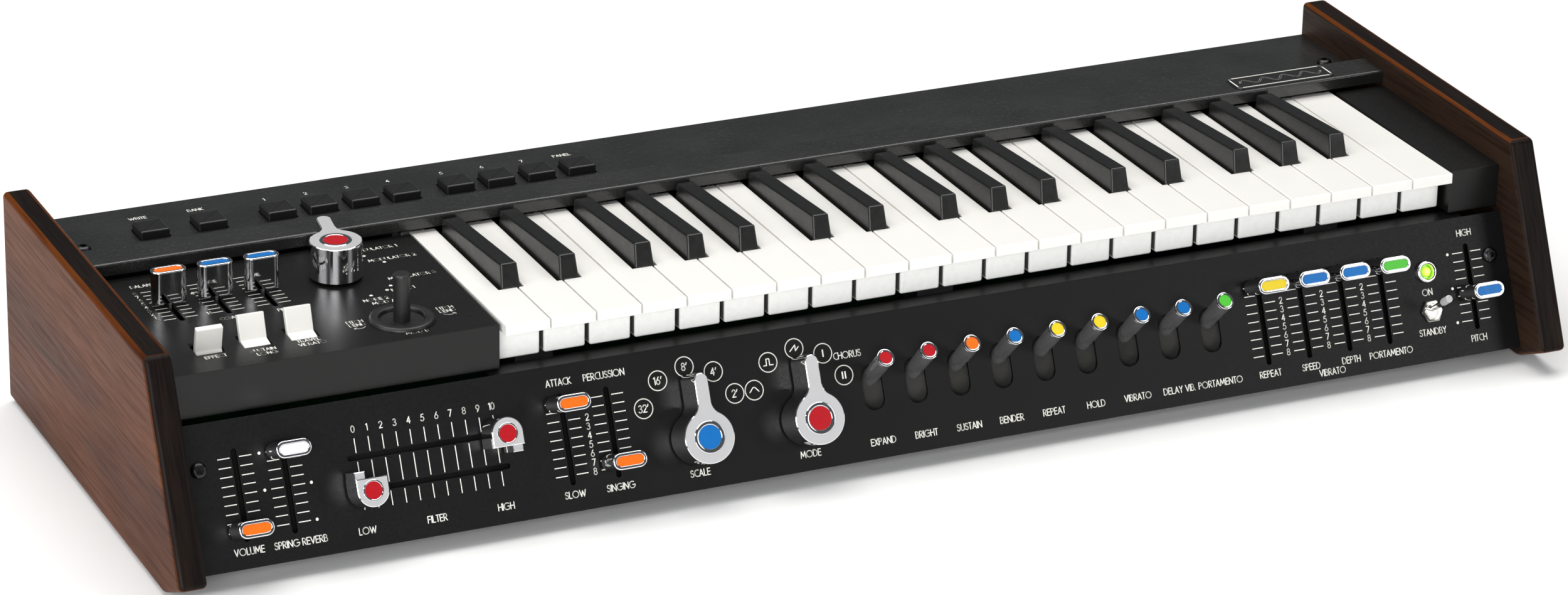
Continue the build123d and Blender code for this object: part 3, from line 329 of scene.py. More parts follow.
def inset(outline, distance):
    """The outline moved inwards; negative moves it out."""
    count = len(outline)
    moved = []
    for i, (x, y) in enumerate(outline):
        before = Vector(outline[i - 1])
        after = Vector(outline[(i + 1) % count])
        here = Vector((x, y))
        first = (here - before).normalized()
        second = (after - here).normalized()
        along = (first + second).normalized()
        normal = Vector((-along.y, along.x))
        stretch = max(0.5, normal.dot(Vector((-first.y, first.x))))
        moved.append((x + normal.x * distance / stretch, y + normal.y * distance / stretch))
    return moved


def stack(rings, close_start=True, close_end=True):
    """A skin over rings of equal count; each ring is (outline, height)."""
    vertices = []
    faces = []
    count = len(rings[0][0])
    for outline, height in rings:
        vertices += [(x, y, height) for x, y in outline]
    for r in range(len(rings) - 1):
        low = r * count
        high = low + count
        for i in range(count):
            j = (i + 1) % count
            faces.append((low + i, low + j, high + j, high + i))
    if close_start:
        faces.append(tuple(reversed(range(count))))
    if close_end:
        faces.append(tuple(range(len(vertices) - count, len(vertices))))
    return vertices, faces


def rolled(outline, low, high, radius, steps=4):
    """Rings up an upright wall that rolls over into the top by a radius."""
    rings = [(outline, low)]
    for i in range(steps + 1):
        angle = math.pi / 2 * i / steps
        height = high - radius + radius * math.sin(angle)
        rings.append((inset(outline, radius * (1 - math.cos(angle))), height))
    return rings


def dished(outline, low, high, radius, rim, depth, steps=4):
    """A wall with a rolled rim and a flat recessed top; returns the body's shell and the recess outline."""
    rings = rolled(outline, low, high, radius, steps)
    inner = inset(outline, rim)
    for i in range(steps + 1):
        angle = math.pi / 2 * i / steps
        height = high - radius * 0.6 * (1 - math.cos(angle))
        rings.append((inset(inner, -radius * (1 - math.sin(angle)) * 0.6), height))
    rings.append((inner, high - depth))
    return stack(rings), inner


def lathe(profile, count=40):
    """A turned piece; the profile is (radius, height) from the bottom up, then closed at both ends."""
    return stack([(circle(max(radius, 0.01), count), height) for radius, height in profile])


def bevelled(vertices, faces, width, segments=3, chosen=None):
    """Round the edges of a closed polyhedron; chosen picks edges from their two end points."""
    mesh = bmesh.new()
    made = [mesh.verts.new(v) for v in vertices]
    for face in faces:
        mesh.faces.new([made[i] for i in face])
    bmesh.ops.recalc_face_normals(mesh, faces=mesh.faces)
    edges = [e for e in mesh.edges if chosen is None or chosen(e.verts[0].co, e.verts[1].co)]
    bmesh.ops.bevel(mesh, geom=edges, offset=width, segments=segments, profile=0.5, affect="EDGES",
                    clamp_overlap=True)
    mesh.verts.index_update()
    result = ([tuple(v.co) for v in mesh.verts], [tuple(v.index for v in f.verts) for f in mesh.faces])
    mesh.free()
    return result


def prism(outline, low, high):
    return stack([(outline, low), (outline, high)])


def box_shell(x0, x1, y0, y1, z0, z1, width=0.4, segments=2, chosen=None):
    vertices, faces = prism([(x0, y0), (x1, y0), (x1, y1), (x0, y1)], z0, z1)
    return bevelled(vertices, faces, width, segments, chosen)


def side_prism(profile, x0, x1):
    """A closed prism along x; the profile is (y, z)."""
    count = len(profile)
    vertices = [(x0, y, z) for y, z in profile] + [(x1, y, z) for y, z in profile]
    faces = [tuple(range(count)), tuple(range(2 * count - 1, count - 1, -1))]
    faces += [(i, (i + 1) % count, (i + 1) % count + count, i + count) for i in range(count)]
    return vertices, faces


def new_object(name, data):
    """An object of its data, linked into the scene."""
    made = bpy.data.objects.new(name, data)
    bpy.context.scene.collection.objects.link(made)
    return made


class Piece:
    """One visible piece, gathered from closed shells with a material each."""

    def __init__(self, name):
        self.name = name
        self.vertices = []
        self.faces = []
        self.indices = []
        self.materials = []

    def add(self, shell, material, matrix=None):
        if material not in self.materials:
            self.materials.append(material)
        index = self.materials.index(material)
        base = len(self.vertices)
        for vertex in shell[0]:
            point = Vector(vertex) if matrix is None else matrix @ Vector(vertex)
            self.vertices.append(point * MM)
        for face in shell[1]:
            self.faces.append(tuple(base + i for i in face))
            self.indices.append(index)

    def build(self, body, replaced=None, sharp=40.0, centre=None):
        """Make the object, in place of its body's node unless told; centre is its origin in millimetres."""
        if replaced is None:
            replaced = (body,)
        shift = Vector(centre) * MM if centre is not None else Vector((0, 0, 0))
        mesh = bpy.data.meshes.new(self.name)
        mesh.from_pydata([v - shift for v in self.vertices], [], self.faces)
        for material in self.materials:
            mesh.materials.append(material)
        mesh.polygons.foreach_set("material_index", self.indices)
        mesh.polygons.foreach_set("use_smooth", [True] * len(mesh.polygons))
        mesh.update()
        mesh.set_sharp_from_angle(angle=math.radians(sharp))
        piece = new_object(self.name, mesh)
        piece.location = shift
        weighted = piece.modifiers.new("even_shading", "WEIGHTED_NORMAL")
        weighted.keep_sharp = True
        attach(piece, body)
        if replaced:
            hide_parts(*replaced)


# ---- cheeks ----

def build_cheek(name, x0, x1):
    """A wooden end cheek with rounded arrises, a darker front edge and inner faces darkened with painted
    shade.
    """
    front_y = CHEEK_TOP_FRONT_Y - CHEEK_FRONT_LENGTH * SLANT_SIN
    corner_z = CHEEK_TOP - CHEEK_FRONT_LENGTH * SLANT_COS
    chamfer_y = front_y + (corner_z - CHEEK_BOTTOM) / math.tan(SLANT)
    side = [(CHEEK_TOP_FRONT_Y, CHEEK_TOP), (CHEEK_REAR_Y, CHEEK_TOP), (CHEEK_REAR_Y, CHEEK_BOTTOM),
            (chamfer_y, CHEEK_BOTTOM), (front_y, corner_z)]
    shell = bevelled(*side_prism(side, x0, x1), CHEEK_ROUND, 5)
    facing = Vector((0, -SLANT_COS, SLANT_SIN))
    below = Vector((0, -SLANT_SIN, -SLANT_COS))
    inner_side = 1 if x0 < 0 else -1
    front = []
    inner = []
    rest = []
    for face in shell[1]:
        corners = [Vector(shell[0][i]) for i in face]
        normal = (corners[1] - corners[0]).cross(corners[2] - corners[1]).normalized()
        is_front = abs(normal.x) < 0.75 and (abs(normal.dot(facing)) > 0.6 or abs(normal.dot(below)) > 0.9)
        if is_front:
            front.append(face)
        # Faces that turn inwards take the darker wood, which is painted shade.
        elif normal.x * inner_side > 0.75:
            inner.append(face)
        else:
            rest.append(face)
    piece = Piece(name + "_wood")
    piece.add((shell[0], rest), WALNUT)
    piece.add((shell[0], inner), INNER_SHADE_WOOD)
    piece.add((shell[0], front), EDGE_WOOD)
    piece.build("case", (name,))


build_cheek("left_cheek", -WIDTH / 2, -INNER_HALF)
build_cheek("right_cheek", INNER_HALF, WIDTH / 2)

# ---- sheet metal and inner parts keep their CAD shape ----

# The front panel takes the darker copy of the panel paint, which is painted shade. The upper left panel and
# the right block take the lighter copy, which is painted light.
CAD_FINISH = {
    "front_panel": PANEL_SHADED_PAINT,
    "upper_left_panel": UPPER_LIT_PAINT,
    "right_block": UPPER_LIT_PAINT,
    "bottom_pan": STEEL_PAINT,
    "top_cover": COVER_SKIN,
    "key_frame": ZINC,
    "circuit_boards": BOARD,
    "control_mechanisms": MECHANISM,
    "rear_jacks": BLACK_PLASTIC,
    "rubber_feet": RUBBER,
    "joystick_gimbal": BLACK_PLASTIC,
}
for node, material in CAD_FINISH.items():
    mesh = nodes[node].data
    mesh.materials.clear()
    mesh.materials.append(material)

# ---- keys ----

KEY_PITCH = 23.6
WHITE_KEYS = 22
KEYS_LEFT_X = -190.9
KEY_FRONT_Y = -82.4
KEY_TOP_Z = 98.4
KEY_GAP = 0.9
KEY_SLOPE = math.radians(-0.84)
KEY_LIP = 5.5
KEY_OVERHANG = 12.0
KEY_HEAD = 42.6
KEY_BOX = 22.6
KEY_BOX_INSET = 0.65
KEY_TAIL = 14
KEY_REAR_Y = 60.0
KEY_STEP_Y = 46.0
BLACK_HEIGHT = 11.5
BLACK_REAR_HEIGHT = 6.6
BLACK_LEAN = 3.0
BLACK_BASE = 9.9
BLACK_TOP = 8.5
BLACK_TAIL = 11.2
BLACK_NOTCH = 13.0
BLACK_REAR_Y = 40.6
BLACK_OFFSETS = {"c_sharp": (1, -3.4), "d_sharp": (2, 3.4), "f_sharp": (4, -4.2), "g_sharp": (5, 0.0),
                 "a_sharp": (6, 4.2)}
KEY_TURN = (Matrix.Translation((0, KEY_FRONT_Y, KEY_TOP_Z)) @ Matrix.Rotation(KEY_SLOPE, 4, "X")
            @ Matrix.Translation((0, -KEY_FRONT_Y, -KEY_TOP_Z)))
BLACK_PLACES = {note: [KEYS_LEFT_X + (7 * octave + edge) * KEY_PITCH + offset for octave in range(3)]
                for note, (edge, offset) in BLACK_OFFSETS.items()}


def add_key_tail(piece, x0, x1, front, material):
    """The hidden rear of a key, which runs back to the pivot."""
    tail = box_shell(x0, x1, front, KEY_REAR_Y, KEY_TOP_Z - KEY_TAIL, KEY_TOP_Z - KEY_LIP)
    piece.add(tail, material, KEY_TURN)


def add_white_key(piece, index):
    """A white key: rounded top with its notches, the deep box under its lip, and the tail."""
    x0 = KEYS_LEFT_X + index * KEY_PITCH + KEY_GAP / 2
    x1 = x0 + KEY_PITCH - KEY_GAP
    head_end = KEY_FRONT_Y + KEY_HEAD
    tail_x0 = x0
    tail_x1 = x1
    for centres in BLACK_PLACES.values():
        for centre in centres:
            low = centre - BLACK_NOTCH / 2
            high = centre + BLACK_NOTCH / 2
            if low < x0 < high:
                tail_x0 = high
            if low < x1 < high:
                tail_x1 = low
    outline = [(x0, KEY_FRONT_Y), (x1, KEY_FRONT_Y)]
    if tail_x1 < x1:
        outline += [(x1, head_end), (tail_x1, head_end)]
    outline += [(tail_x1, KEY_STEP_Y), (tail_x0, KEY_STEP_Y)]
    if tail_x0 > x0:
        outline += [(tail_x0, head_end), (x0, head_end)]
    vertices, faces = prism(outline, KEY_TOP_Z - KEY_LIP, KEY_TOP_Z)
    middle = KEY_TOP_Z - KEY_LIP / 2

    def rounded_edge(a, b):
        on_top = a.z > middle and b.z > middle
        front_corner = abs(a.z - b.z) > 1 and a.y < KEY_FRONT_Y + 1
        front_foot = max(a.z, b.z) < middle and max(a.y, b.y) < KEY_FRONT_Y + 1
        return on_top or front_corner or front_foot

    piece.add(bevelled(vertices, faces, 0.55, 3, rounded_edge), IVORY, KEY_TURN)
    front = KEY_FRONT_Y + KEY_OVERHANG
    left = x0 + KEY_BOX_INSET
    right = x1 - KEY_BOX_INSET
    face_box = prism([(left, front), (right, front), (right, head_end - 2), (left, head_end - 2)],
                     KEY_TOP_Z - KEY_BOX, KEY_TOP_Z - KEY_LIP + 0.5)

    def box_edge(a, b):
        return a.z < middle - 10 or b.z < middle - 10 or a.y < front + 1

    shell = bevelled(*face_box, 1.2, 3, box_edge)
    # The boxes' side walls take the dark ivory, which is painted shade for the gaps between the keys.
    sides = []
    shown = []
    for corners in shell[1]:
        reach = [abs(shell[0][i][0] - (left + right) / 2) for i in corners]
        on_side = all(abs(x - (right - left) / 2) < 0.01 for x in reach)
        (sides if on_side else shown).append(corners)
    piece.add((shell[0], shown), IVORY_BOX, KEY_TURN)
    piece.add((shell[0], sides), SIDE_SHADE_IVORY, KEY_TURN)
    add_key_tail(piece, tail_x0 + 0.5, tail_x1 - 0.5, head_end - 3, IVORY_BOX)


def add_black_key(piece, centre):
    """A black key: sloped front, narrowing sides and a top that falls towards the back."""
    front = KEY_FRONT_Y + KEY_HEAD + 0.4
    rear_width = BLACK_BASE - (BLACK_BASE - BLACK_TOP) * BLACK_REAR_HEIGHT / BLACK_HEIGHT
    vertices = []
    corners = [(front, -4.0, BLACK_BASE), (BLACK_REAR_Y, -4.0, BLACK_BASE), (front, 0.4, BLACK_BASE),
               (BLACK_REAR_Y, 0.4, BLACK_BASE), (front + BLACK_LEAN, BLACK_HEIGHT, BLACK_TOP),
               (BLACK_REAR_Y, BLACK_REAR_HEIGHT, rear_width)]
    for y, z, width in corners:
        vertices.append((centre - width / 2, y, KEY_TOP_Z + z))
        vertices.append((centre + width / 2, y, KEY_TOP_Z + z))
    faces = [(0, 2, 3, 1), (0, 1, 5, 4), (2, 6, 7, 3), (0, 4, 6, 2), (1, 3, 7, 5), (4, 5, 9, 8),
             (6, 10, 11, 7), (4, 8, 10, 6), (5, 7, 11, 9), (8, 9, 11, 10)]

    def rounded_edge(a, b):
        upright = abs(a.z - b.z) > 3 and a.z > KEY_TOP_Z and b.z > KEY_TOP_Z
        return upright or (a.z > KEY_TOP_Z + 3 and b.z > KEY_TOP_Z + 3)

    piece.add(bevelled(vertices, faces, 1.0, 4, rounded_edge), EBONY, KEY_TURN)
    half = BLACK_TAIL / 2
    add_key_tail(piece, centre - half, centre + half, front + 0.5, EBONY)


for order, note in enumerate("cdefgab"):
    piece = Piece(f"white_{note}_keys")
    for octave in range(3):
        add_white_key(piece, 7 * octave + order)
    if note == "c":
        add_white_key(piece, WHITE_KEYS - 1)
    piece.build("key_" + note, sharp=35.0)
for note, centres in BLACK_PLACES.items():
    piece = Piece(f"black_{note}_keys")
    for centre in centres:
        add_black_key(piece, centre)
    piece.build("key_" + note, sharp=35.0)

# ---- sliders ----

CAP_LENGTH = 17.6
CAP_WIDTH = 8.2
CAP_TOP = 18.4
CAP_BOTTOM = 2.2
CARRIAGE_TOP = -4.4
CARRIAGE_BOTTOM = -7.4
FRONT_SLIDERS = {
    "volume_slider": (-329.6, 86.0, "orange"),
    "reverb_slider": (-305.8, 52.0, "white"),
    "attack_slider": (-165.0, 52.4, "orange"),
    "percussion_slider": (-141.3, 84.0, "orange"),
    "repeat_slider": (213.5, 52.2, "yellow"),
    "vibrato_speed_slider": (236.8, 52.2, "blue"),
    "vibrato_depth_slider": (260.1, 52.2, "blue"),
    "portamento_slider": (283.4, 52.2, "green"),
    "pitch_slider": (334.7, 72.6, "blue"),
}
UPPER_SLIDERS = {
    "balance_slider": (-329.2, "orange"),
    "coarse_tune_slider": (-305.8, "blue"),
    "fine_tune_slider": (-282.4, "blue"),
}
UPPER_SLIDER_Y = 3.8


def add_carriage(piece, matrix, stem_x, stem_y, half_x, half_y):
    """The stem through the slot and the carriage under it, from their half widths."""
    stem = box_shell(-stem_x, stem_x, -stem_y, stem_y, CARRIAGE_TOP - 0.5, CAP_BOTTOM + 1, 0.2)
    piece.add(stem, ZINC, matrix)
    carriage = box_shell(-half_x, half_x, -half_y, half_y, CARRIAGE_BOTTOM, CARRIAGE_TOP, 0.4)
    piece.add(carriage, BLACK_PLASTIC, matrix)


def add_plated(piece, matrix, outline, wall, edge):
    """A polished wall, inset by edge at its last ring, under a satin top."""
    top = wall[-1][1]
    piece.add(stack(wall, True, False), CHROME, matrix)
    cover = [(inset(outline, edge), top), (inset(outline, edge + 0.02), top + 0.001)]
    piece.add(stack(cover, False, True), SATIN, matrix)


def add_slider(piece, matrix, colour):
    """A plated oval cap with a rolled rim and a colour insert, on its stem and carriage."""
    body, recess = dished(oblong(CAP_LENGTH, CAP_WIDTH, 12), CAP_BOTTOM, CAP_TOP, 0.7, 1.75, 0.7)
    piece.add(body, CHROME, matrix)
    insert = rolled(inset(recess, 0.05), CAP_TOP - 0.75, CAP_TOP - 0.3, 0.15, 2)
    piece.add(stack(insert), INSERTS[colour], matrix)
    add_carriage(piece, matrix, 0.7, 2.5, 3.5, 3.0)


for node, (x, s, colour) in FRONT_SLIDERS.items():
    piece = Piece(node + "_cap")
    add_slider(piece, on_panel(x, s), colour)
    piece.build(node)
for node, (x, colour) in UPPER_SLIDERS.items():
    piece = Piece(node + "_cap")
    add_slider(piece, on_upper(x, UPPER_SLIDER_Y), colour)
    piece.build(node)

# ---- two-row filter sliders ----

FILTER_LEFT_X = -270.3
FILTER_RIGHT_X = -200.1
FILTER_HIGH_S = 61.7
FILTER_LOW_S = 77.6
FILTER_HALF = 8.0
FILTER_REACH = 6.2
FILTER_TAB_REACH = 9.4


def add_filter_cap(piece, matrix):
    """A U-shaped satin cap with a polished edge, a pointer tab and a ringed red disc."""
    tab_left = -FILTER_HALF + 0.4
    tab_right = tab_left + 5.4
    outline = arc(0, 0, FILTER_HALF, 180, 360, 24)
    outline += [(FILTER_HALF, FILTER_REACH), (-FILTER_HALF, FILTER_REACH)]
    top = CAP_TOP - 1.2
    wall = [(outline, CAP_BOTTOM), (outline, top - 0.5), (inset(outline, 0.15), top - 0.15),
            (inset(outline, 0.5), top)]
    add_plated(piece, matrix, outline, wall, 0.5)
    tab_top = top - 2.4
    tab = [(tab_left, FILTER_REACH - 0.4), (tab_right, FILTER_REACH - 0.4), (tab_right, FILTER_TAB_REACH),
           (tab_left, FILTER_TAB_REACH)]
    tab_wall = [(tab, CAP_BOTTOM), (tab, tab_top - 0.4), (inset(tab, 0.4), tab_top)]
    add_plated(piece, matrix, tab, tab_wall, 0.4)
    ring = [(5.1, top - 0.2), (5.1, top + 0.25), (4.9, top + 0.4), (4.5, top + 0.4), (4.3, top + 0.25),
            (4.3, top)]
    piece.add(lathe(ring, 48), CHROME, matrix)
    piece.add(lathe([(4.3, top), (4.3, top + 0.12), (4.15, top + 0.2)], 48), INSERTS["red"], matrix)
    add_carriage(piece, matrix, 2.5, 0.7, 3.0, 3.5)


piece = Piece("filter_low_slider_cap")
add_filter_cap(piece, on_panel(FILTER_LEFT_X, FILTER_LOW_S))
piece.build("filter_low_slider", sharp=30.0)
piece = Piece("filter_high_slider_cap")
add_filter_cap(piece, on_panel(FILTER_RIGHT_X, FILTER_HIGH_S) @ Matrix.Rotation(math.pi, 4, "Z"))
piece.build("filter_high_slider", sharp=30.0)

# ---- rotary knobs ----

KNOB_R = 13.0
KNOB_TOP = 19.4
KNOB_BOTTOM = 1.6
POINTER_REACH = 31.2
POINTER_HALF = 3.6
NECK_R = 7.0
ROTARY_S = 79.5
SCALE_X = -99.7
MODE_X = -41.5


def knob_outline():
    """A round knob that runs through a hollow neck into a straight pointer along +y."""
    neck_x = POINTER_HALF + NECK_R
    neck_y = math.sqrt((KNOB_R + NECK_R) ** 2 - neck_x ** 2)
    turn = math.degrees(math.atan2(neck_y, neck_x))
    end_y = POINTER_REACH - POINTER_HALF
    right = arc(neck_x, neck_y, NECK_R, 180 + turn, 180, 8)
    tip = arc(0, end_y, POINTER_HALF, 0, 180, 14)
    left = arc(-neck_x, neck_y, NECK_R, 0, -turn, 8)
    around = arc(0, 0, KNOB_R, 180 - turn, 360 + turn, 56)
    return right + tip + left + around[1:-1]


def add_knob(piece, matrix, colour):
    """A pointer knob: plated wall, satin top, polished arris, a raised plated ring round its insert."""
    outline = knob_outline()
    wall = [(outline, KNOB_BOTTOM), (outline, KNOB_TOP - 0.5), (inset(outline, 0.14), KNOB_TOP - 0.2),
            (inset(outline, 0.45), KNOB_TOP)]
    add_plated(piece, matrix, outline, wall, 0.45)
    ring = [(7.9, KNOB_TOP - 0.3), (7.9, KNOB_TOP + 0.1), (7.6, KNOB_TOP + 0.35), (7.1, KNOB_TOP + 0.4),
            (6.4, KNOB_TOP + 0.4), (5.95, KNOB_TOP + 0.2), (5.9, KNOB_TOP - 0.1)]
    piece.add(lathe(ring, 64), CHROME, matrix)
    piece.add(lathe([(5.85, KNOB_TOP - 0.1), (5.85, KNOB_TOP + 0.1), (5.7, KNOB_TOP + 0.18)], 64),
              INSERTS[colour], matrix)
    piece.add(lathe([(3.0, -12.0), (3.0, KNOB_BOTTOM + 2)], 32), ZINC, matrix)


MODULATOR_TURN = math.radians(-8.0)
KNOBS = {
    "scale_knob": (on_panel(SCALE_X, ROTARY_S), "blue"),
    "mode_knob": (on_panel(MODE_X, ROTARY_S), "red"),
    "modulator_knob": (on_upper(-244.0, 4.8) @ Matrix.Rotation(MODULATOR_TURN, 4, "Z"), "red"),
}
for node, (matrix, colour) in KNOBS.items():
    piece = Piece(node + "_body")
    add_knob(piece, matrix, colour)
    piece.build(node, sharp=30.0)

# ---- lever switches ----

LEVER_FIRST_X = -3.3
LEVER_PITCH = 23.35
LEVER_S = 69.7
LEVER_PIVOT_H = -15.0
LEVER_LENGTH = 39.0
LEVER_TILT = math.radians(21.0)
SHUTTER_R = 13.2
SHUTTER_THICK = 0.8
SHUTTER_HALF_WIDTH = 6.2
SHUTTER_HALF_ANGLE = 82.0
LEVERS = [("expand", "red"), ("bright", "red"), ("sustain", "orange"), ("bender", "blue"),
          ("repeat", "yellow"), ("hold", "yellow"), ("vibrato", "blue"), ("delay_vibrato", "blue"),
          ("portamento", "green")]


def add_lever(piece, matrix, colour):
    """A tapered barrel with a bright rolled tip round its insert, and the felted dust shutter."""
    top = LEVER_LENGTH
    barrel = [(3.4, -2.0), (3.9, 2.0), (3.95, 14.0), (4.35, top - 1.9), (4.15, top - 1.75)]
    piece.add(lathe(barrel, 40), DARK_CHROME, matrix)
    tip = [(4.2, top - 1.8), (4.6, top - 1.3), (4.6, top - 0.5), (4.4, top - 0.12), (4.1, top), (3.6, top),
           (3.3, top - 0.15), (3.2, top - 0.6)]
    piece.add(lathe(tip, 40), CHROME, matrix)
    piece.add(lathe([(3.15, top - 0.6), (3.15, top - 0.35), (3.0, top - 0.28)], 40), INSERTS[colour], matrix)
    vertices = []
    faces = []
    steps = 30
    for i in range(steps + 1):
        angle = math.radians(SHUTTER_HALF_ANGLE * (2 * i / steps - 1))
        for radius in (SHUTTER_R - SHUTTER_THICK, SHUTTER_R):
            for x in (-SHUTTER_HALF_WIDTH, SHUTTER_HALF_WIDTH):
                vertices.append((x, radius * math.sin(angle), radius * math.cos(angle)))
    for i in range(steps):
        a = 4 * i
        b = a + 4
        faces += [(a + 2, a + 3, b + 3, b + 2), (a, b, b + 1, a + 1)]
        faces += [(a, a + 2, b + 2, b), (a + 1, b + 1, b + 3, a + 3)]
    last = len(vertices) - 4
    faces += [(0, 1, 3, 2), (last, last + 2, last + 3, last + 1)]
    piece.add((vertices, faces), FELT, matrix)


for i, (name, colour) in enumerate(LEVERS):
    pivot = on_panel(LEVER_FIRST_X + i * LEVER_PITCH, LEVER_S, LEVER_PIVOT_H)
    piece = Piece(name + "_lever_body")
    add_lever(piece, pivot @ Matrix.Rotation(-LEVER_TILT, 4, "X"), colour)
    piece.build(name + "_lever")

# ---- rocker tabs, joystick, buttons ----

TAB_Y = -51.4
TAB_WIDTH = 13.2
TAB_BLADE = 17.6
TAB_PIVOT_H = -5.0
TABS = {
    "effect_tab": (-329.2, -13.0),
    "sustain_tab": (-305.8, 19.4),
    "travel_vibrato_tab": (-282.4, 19.4),
}
JOY_X = -232.7
JOY_Y = -54.8


def add_tab(piece, matrix):
    """A white rocker: an upright blade and a short ledge in front, in one moulding."""
    half = TAB_WIDTH / 2
    profile = [(1.6, 0.0), (1.6, TAB_BLADE), (-1.6, TAB_BLADE), (-1.6, 5.0), (-7.2, 1.9), (-7.2, 0.3),
               (-1.6, 0.0)]
    moulding = bevelled(*side_prism(profile, -half, half), 0.5, 3, lambda a, b: a.z > 1 or b.z > 1)
    piece.add(moulding, TAB_WHITE, matrix)
    hub = lathe([(2.6, -half), (2.6, half)], 24)
    piece.add(hub, TAB_WHITE, matrix @ Matrix.Rotation(math.pi / 2, 4, "Y"))


for node, (x, lean) in TABS.items():
    piece = Piece(node + "_body")
    add_tab(piece, on_upper(x, TAB_Y, TAB_PIVOT_H) @ Matrix.Rotation(math.radians(-lean), 4, "X"))
    piece.build(node, sharp=35.0)

piece = Piece("joystick_grip")
grip = [(4.6, -17.0), (5.2, -14.0), (5.2, -10.5), (4.3, -8.0), (4.1, -4.0), (4.1, 21.6), (4.25, 22.2),
        (4.25, 23.2), (3.9, 23.8), (3.3, 24.0)]
piece.add(lathe(grip, 48), BLACK_PLASTIC, on_upper(JOY_X, JOY_Y))
piece.build("joystick_stick")

BUTTON_SIZE = 15.0
BUTTON_TOP = 4.2
BUTTON_Y = 92.4
BUTTON_XS = [-308.4, -278.4, -242.3, -220.4, -198.5, -176.6, -147.7, -125.8, -103.9, -82.0]


def add_button(piece, matrix):
    """A square push button with a soft arris and a shallow skirt."""
    outline = rounded(BUTTON_SIZE, BUTTON_SIZE, 1.0)
    rings = [(outline, -3.2), (outline, BUTTON_TOP - 0.8), (inset(outline, 0.25), BUTTON_TOP - 0.35),
             (inset(outline, 0.7), BUTTON_TOP - 0.06), (inset(outline, 1.2), BUTTON_TOP)]
    piece.add(stack(rings), BUTTON_PLASTIC, matrix)


for node, places in (("memory_buttons", BUTTON_XS[:2]), ("preset_buttons", BUTTON_XS[2:])):
    piece = Piece(node + "_caps")
    for x in places:
        add_button(piece, on_cover(x, BUTTON_Y))
    piece.build(node)

# ---- power switch, lamp, nameplate, joystick guard, screws ----

LAMP_X = 309.5
LAMP_S = 58.8
POWER_S = 79.0
POWER_PIVOT_H = -3.0
POWER_TILT = math.radians(-13.0)
PLATE_X = 301.2
PLATE_Y = 52.0
PLATE_OUTLINE = rounded(57.6, 15.4, 2.6)

piece = Piece("power_bat")
bat_place = on_panel(LAMP_X, POWER_S, POWER_PIVOT_H) @ Matrix.Rotation(POWER_TILT, 4, "X")
piece.add(lathe([(2.6, -2.0), (2.6, 1.0), (1.3, 2.4), (1.3, 6.0), (1.75, 17.0)], 32), CHROME, bat_place)
piece.add(lathe([(1.75, 17.0), (1.95, 18.0), (1.95, 23.6), (1.75, 24.3), (1.2, 24.6)], 32), SATIN, bat_place)
piece.build("power_switch")

piece = Piece("case_fittings")
nut = circle(6.2, 6)
nut_rings = [(nut, 0.02), (nut, 1.35), (inset(nut, 0.5), 1.6), (circle(4.2, 6), 1.62)]
piece.add(stack(nut_rings), NICKEL, on_panel(LAMP_X, POWER_S))
thread = [(3.95, 1.0), (3.95, 1.9), (3.7, 2.15), (4.0, 2.4), (3.7, 2.65), (3.6, 2.8), (2.9, 2.8), (2.6, 1.0),
          (2.6, -6.0)]
piece.add(lathe(thread, 40), NICKEL, on_panel(LAMP_X, POWER_S, -0.9))
bezel = [(5.6, 0.0), (5.6, 1.7), (5.3, 2.2), (4.8, 2.4), (4.0, 2.2), (3.4, 1.2), (3.1, 0.4), (3.0, -3.0)]
piece.add(lathe(bezel, 48), CHROME, on_panel(LAMP_X, LAMP_S))
guard = [(16.0, 0.0), (16.0, 0.9), (15.5, 1.7), (14.6, 2.0), (11.8, 2.0), (11.2, 1.6), (10.8, 0.8),
         (10.8, -3.0)]
guard_rings = [(circle(r, 72), z) for r, z in guard]
piece.add(stack(guard_rings, True, False), BLACK_PLASTIC, on_upper(JOY_X, JOY_Y))
plate = [(PLATE_OUTLINE, 0.0), (PLATE_OUTLINE, 0.55), (inset(PLATE_OUTLINE, 0.2), 0.75),
         (inset(PLATE_OUTLINE, 0.3), 0.8)]
piece.add(stack(plate), PLATE_BLACK, STRIP @ Matrix.Translation((PLATE_X, PLATE_Y, 0)))
piece.build("case", ("trim_fittings",))

piece = Piece("lamp_lens")
lens = [(3.0, -3.0), (3.0, 0.0), (2.7, 0.9), (2.1, 1.5), (1.2, 1.85), (0.3, 1.95)]
lens_place = on_panel(LAMP_X, LAMP_S)
piece.add(lathe(lens, 40), LAMP_GLOW, lens_place)
piece.build("case", (), 60.0, tuple(lens_place @ Vector((0, 0, 1.5))))


def add_screw(piece, matrix, radius):
    """A round-headed socket screw: domed head and a hexagon recess."""
    hexagon = circle(radius * 0.42, 6)
    head = [(1, 0.0), (1, 0.18), (0.93, 0.36), (0.78, 0.5), (0.62, 0.58), (0.56, 0.6)]
    rings = [(circle(radius * r, 36), radius * z) for r, z in head]
    vertices, faces = stack(rings, True, False)
    base = len(vertices)
    rim = base - 36
    vertices += [(x, y, radius * 0.6) for x, y in hexagon] + [(x, y, radius * 0.22) for x, y in hexagon]
    for k in range(6):
        start = rim + 6 * k
        following = rim + (6 * (k + 1)) % 36
        fan = [start + i for i in range(6)] + [following]
        faces.append(tuple(fan + [base + (k + 1) % 6, base + k]))
        faces.append((base + k, base + (k + 1) % 6, base + 6 + (k + 1) % 6, base + 6 + k))
    faces.append(tuple(base + 6 + k for k in range(6)))
    piece.add((vertices, faces), BLACK_OXIDE, matrix)


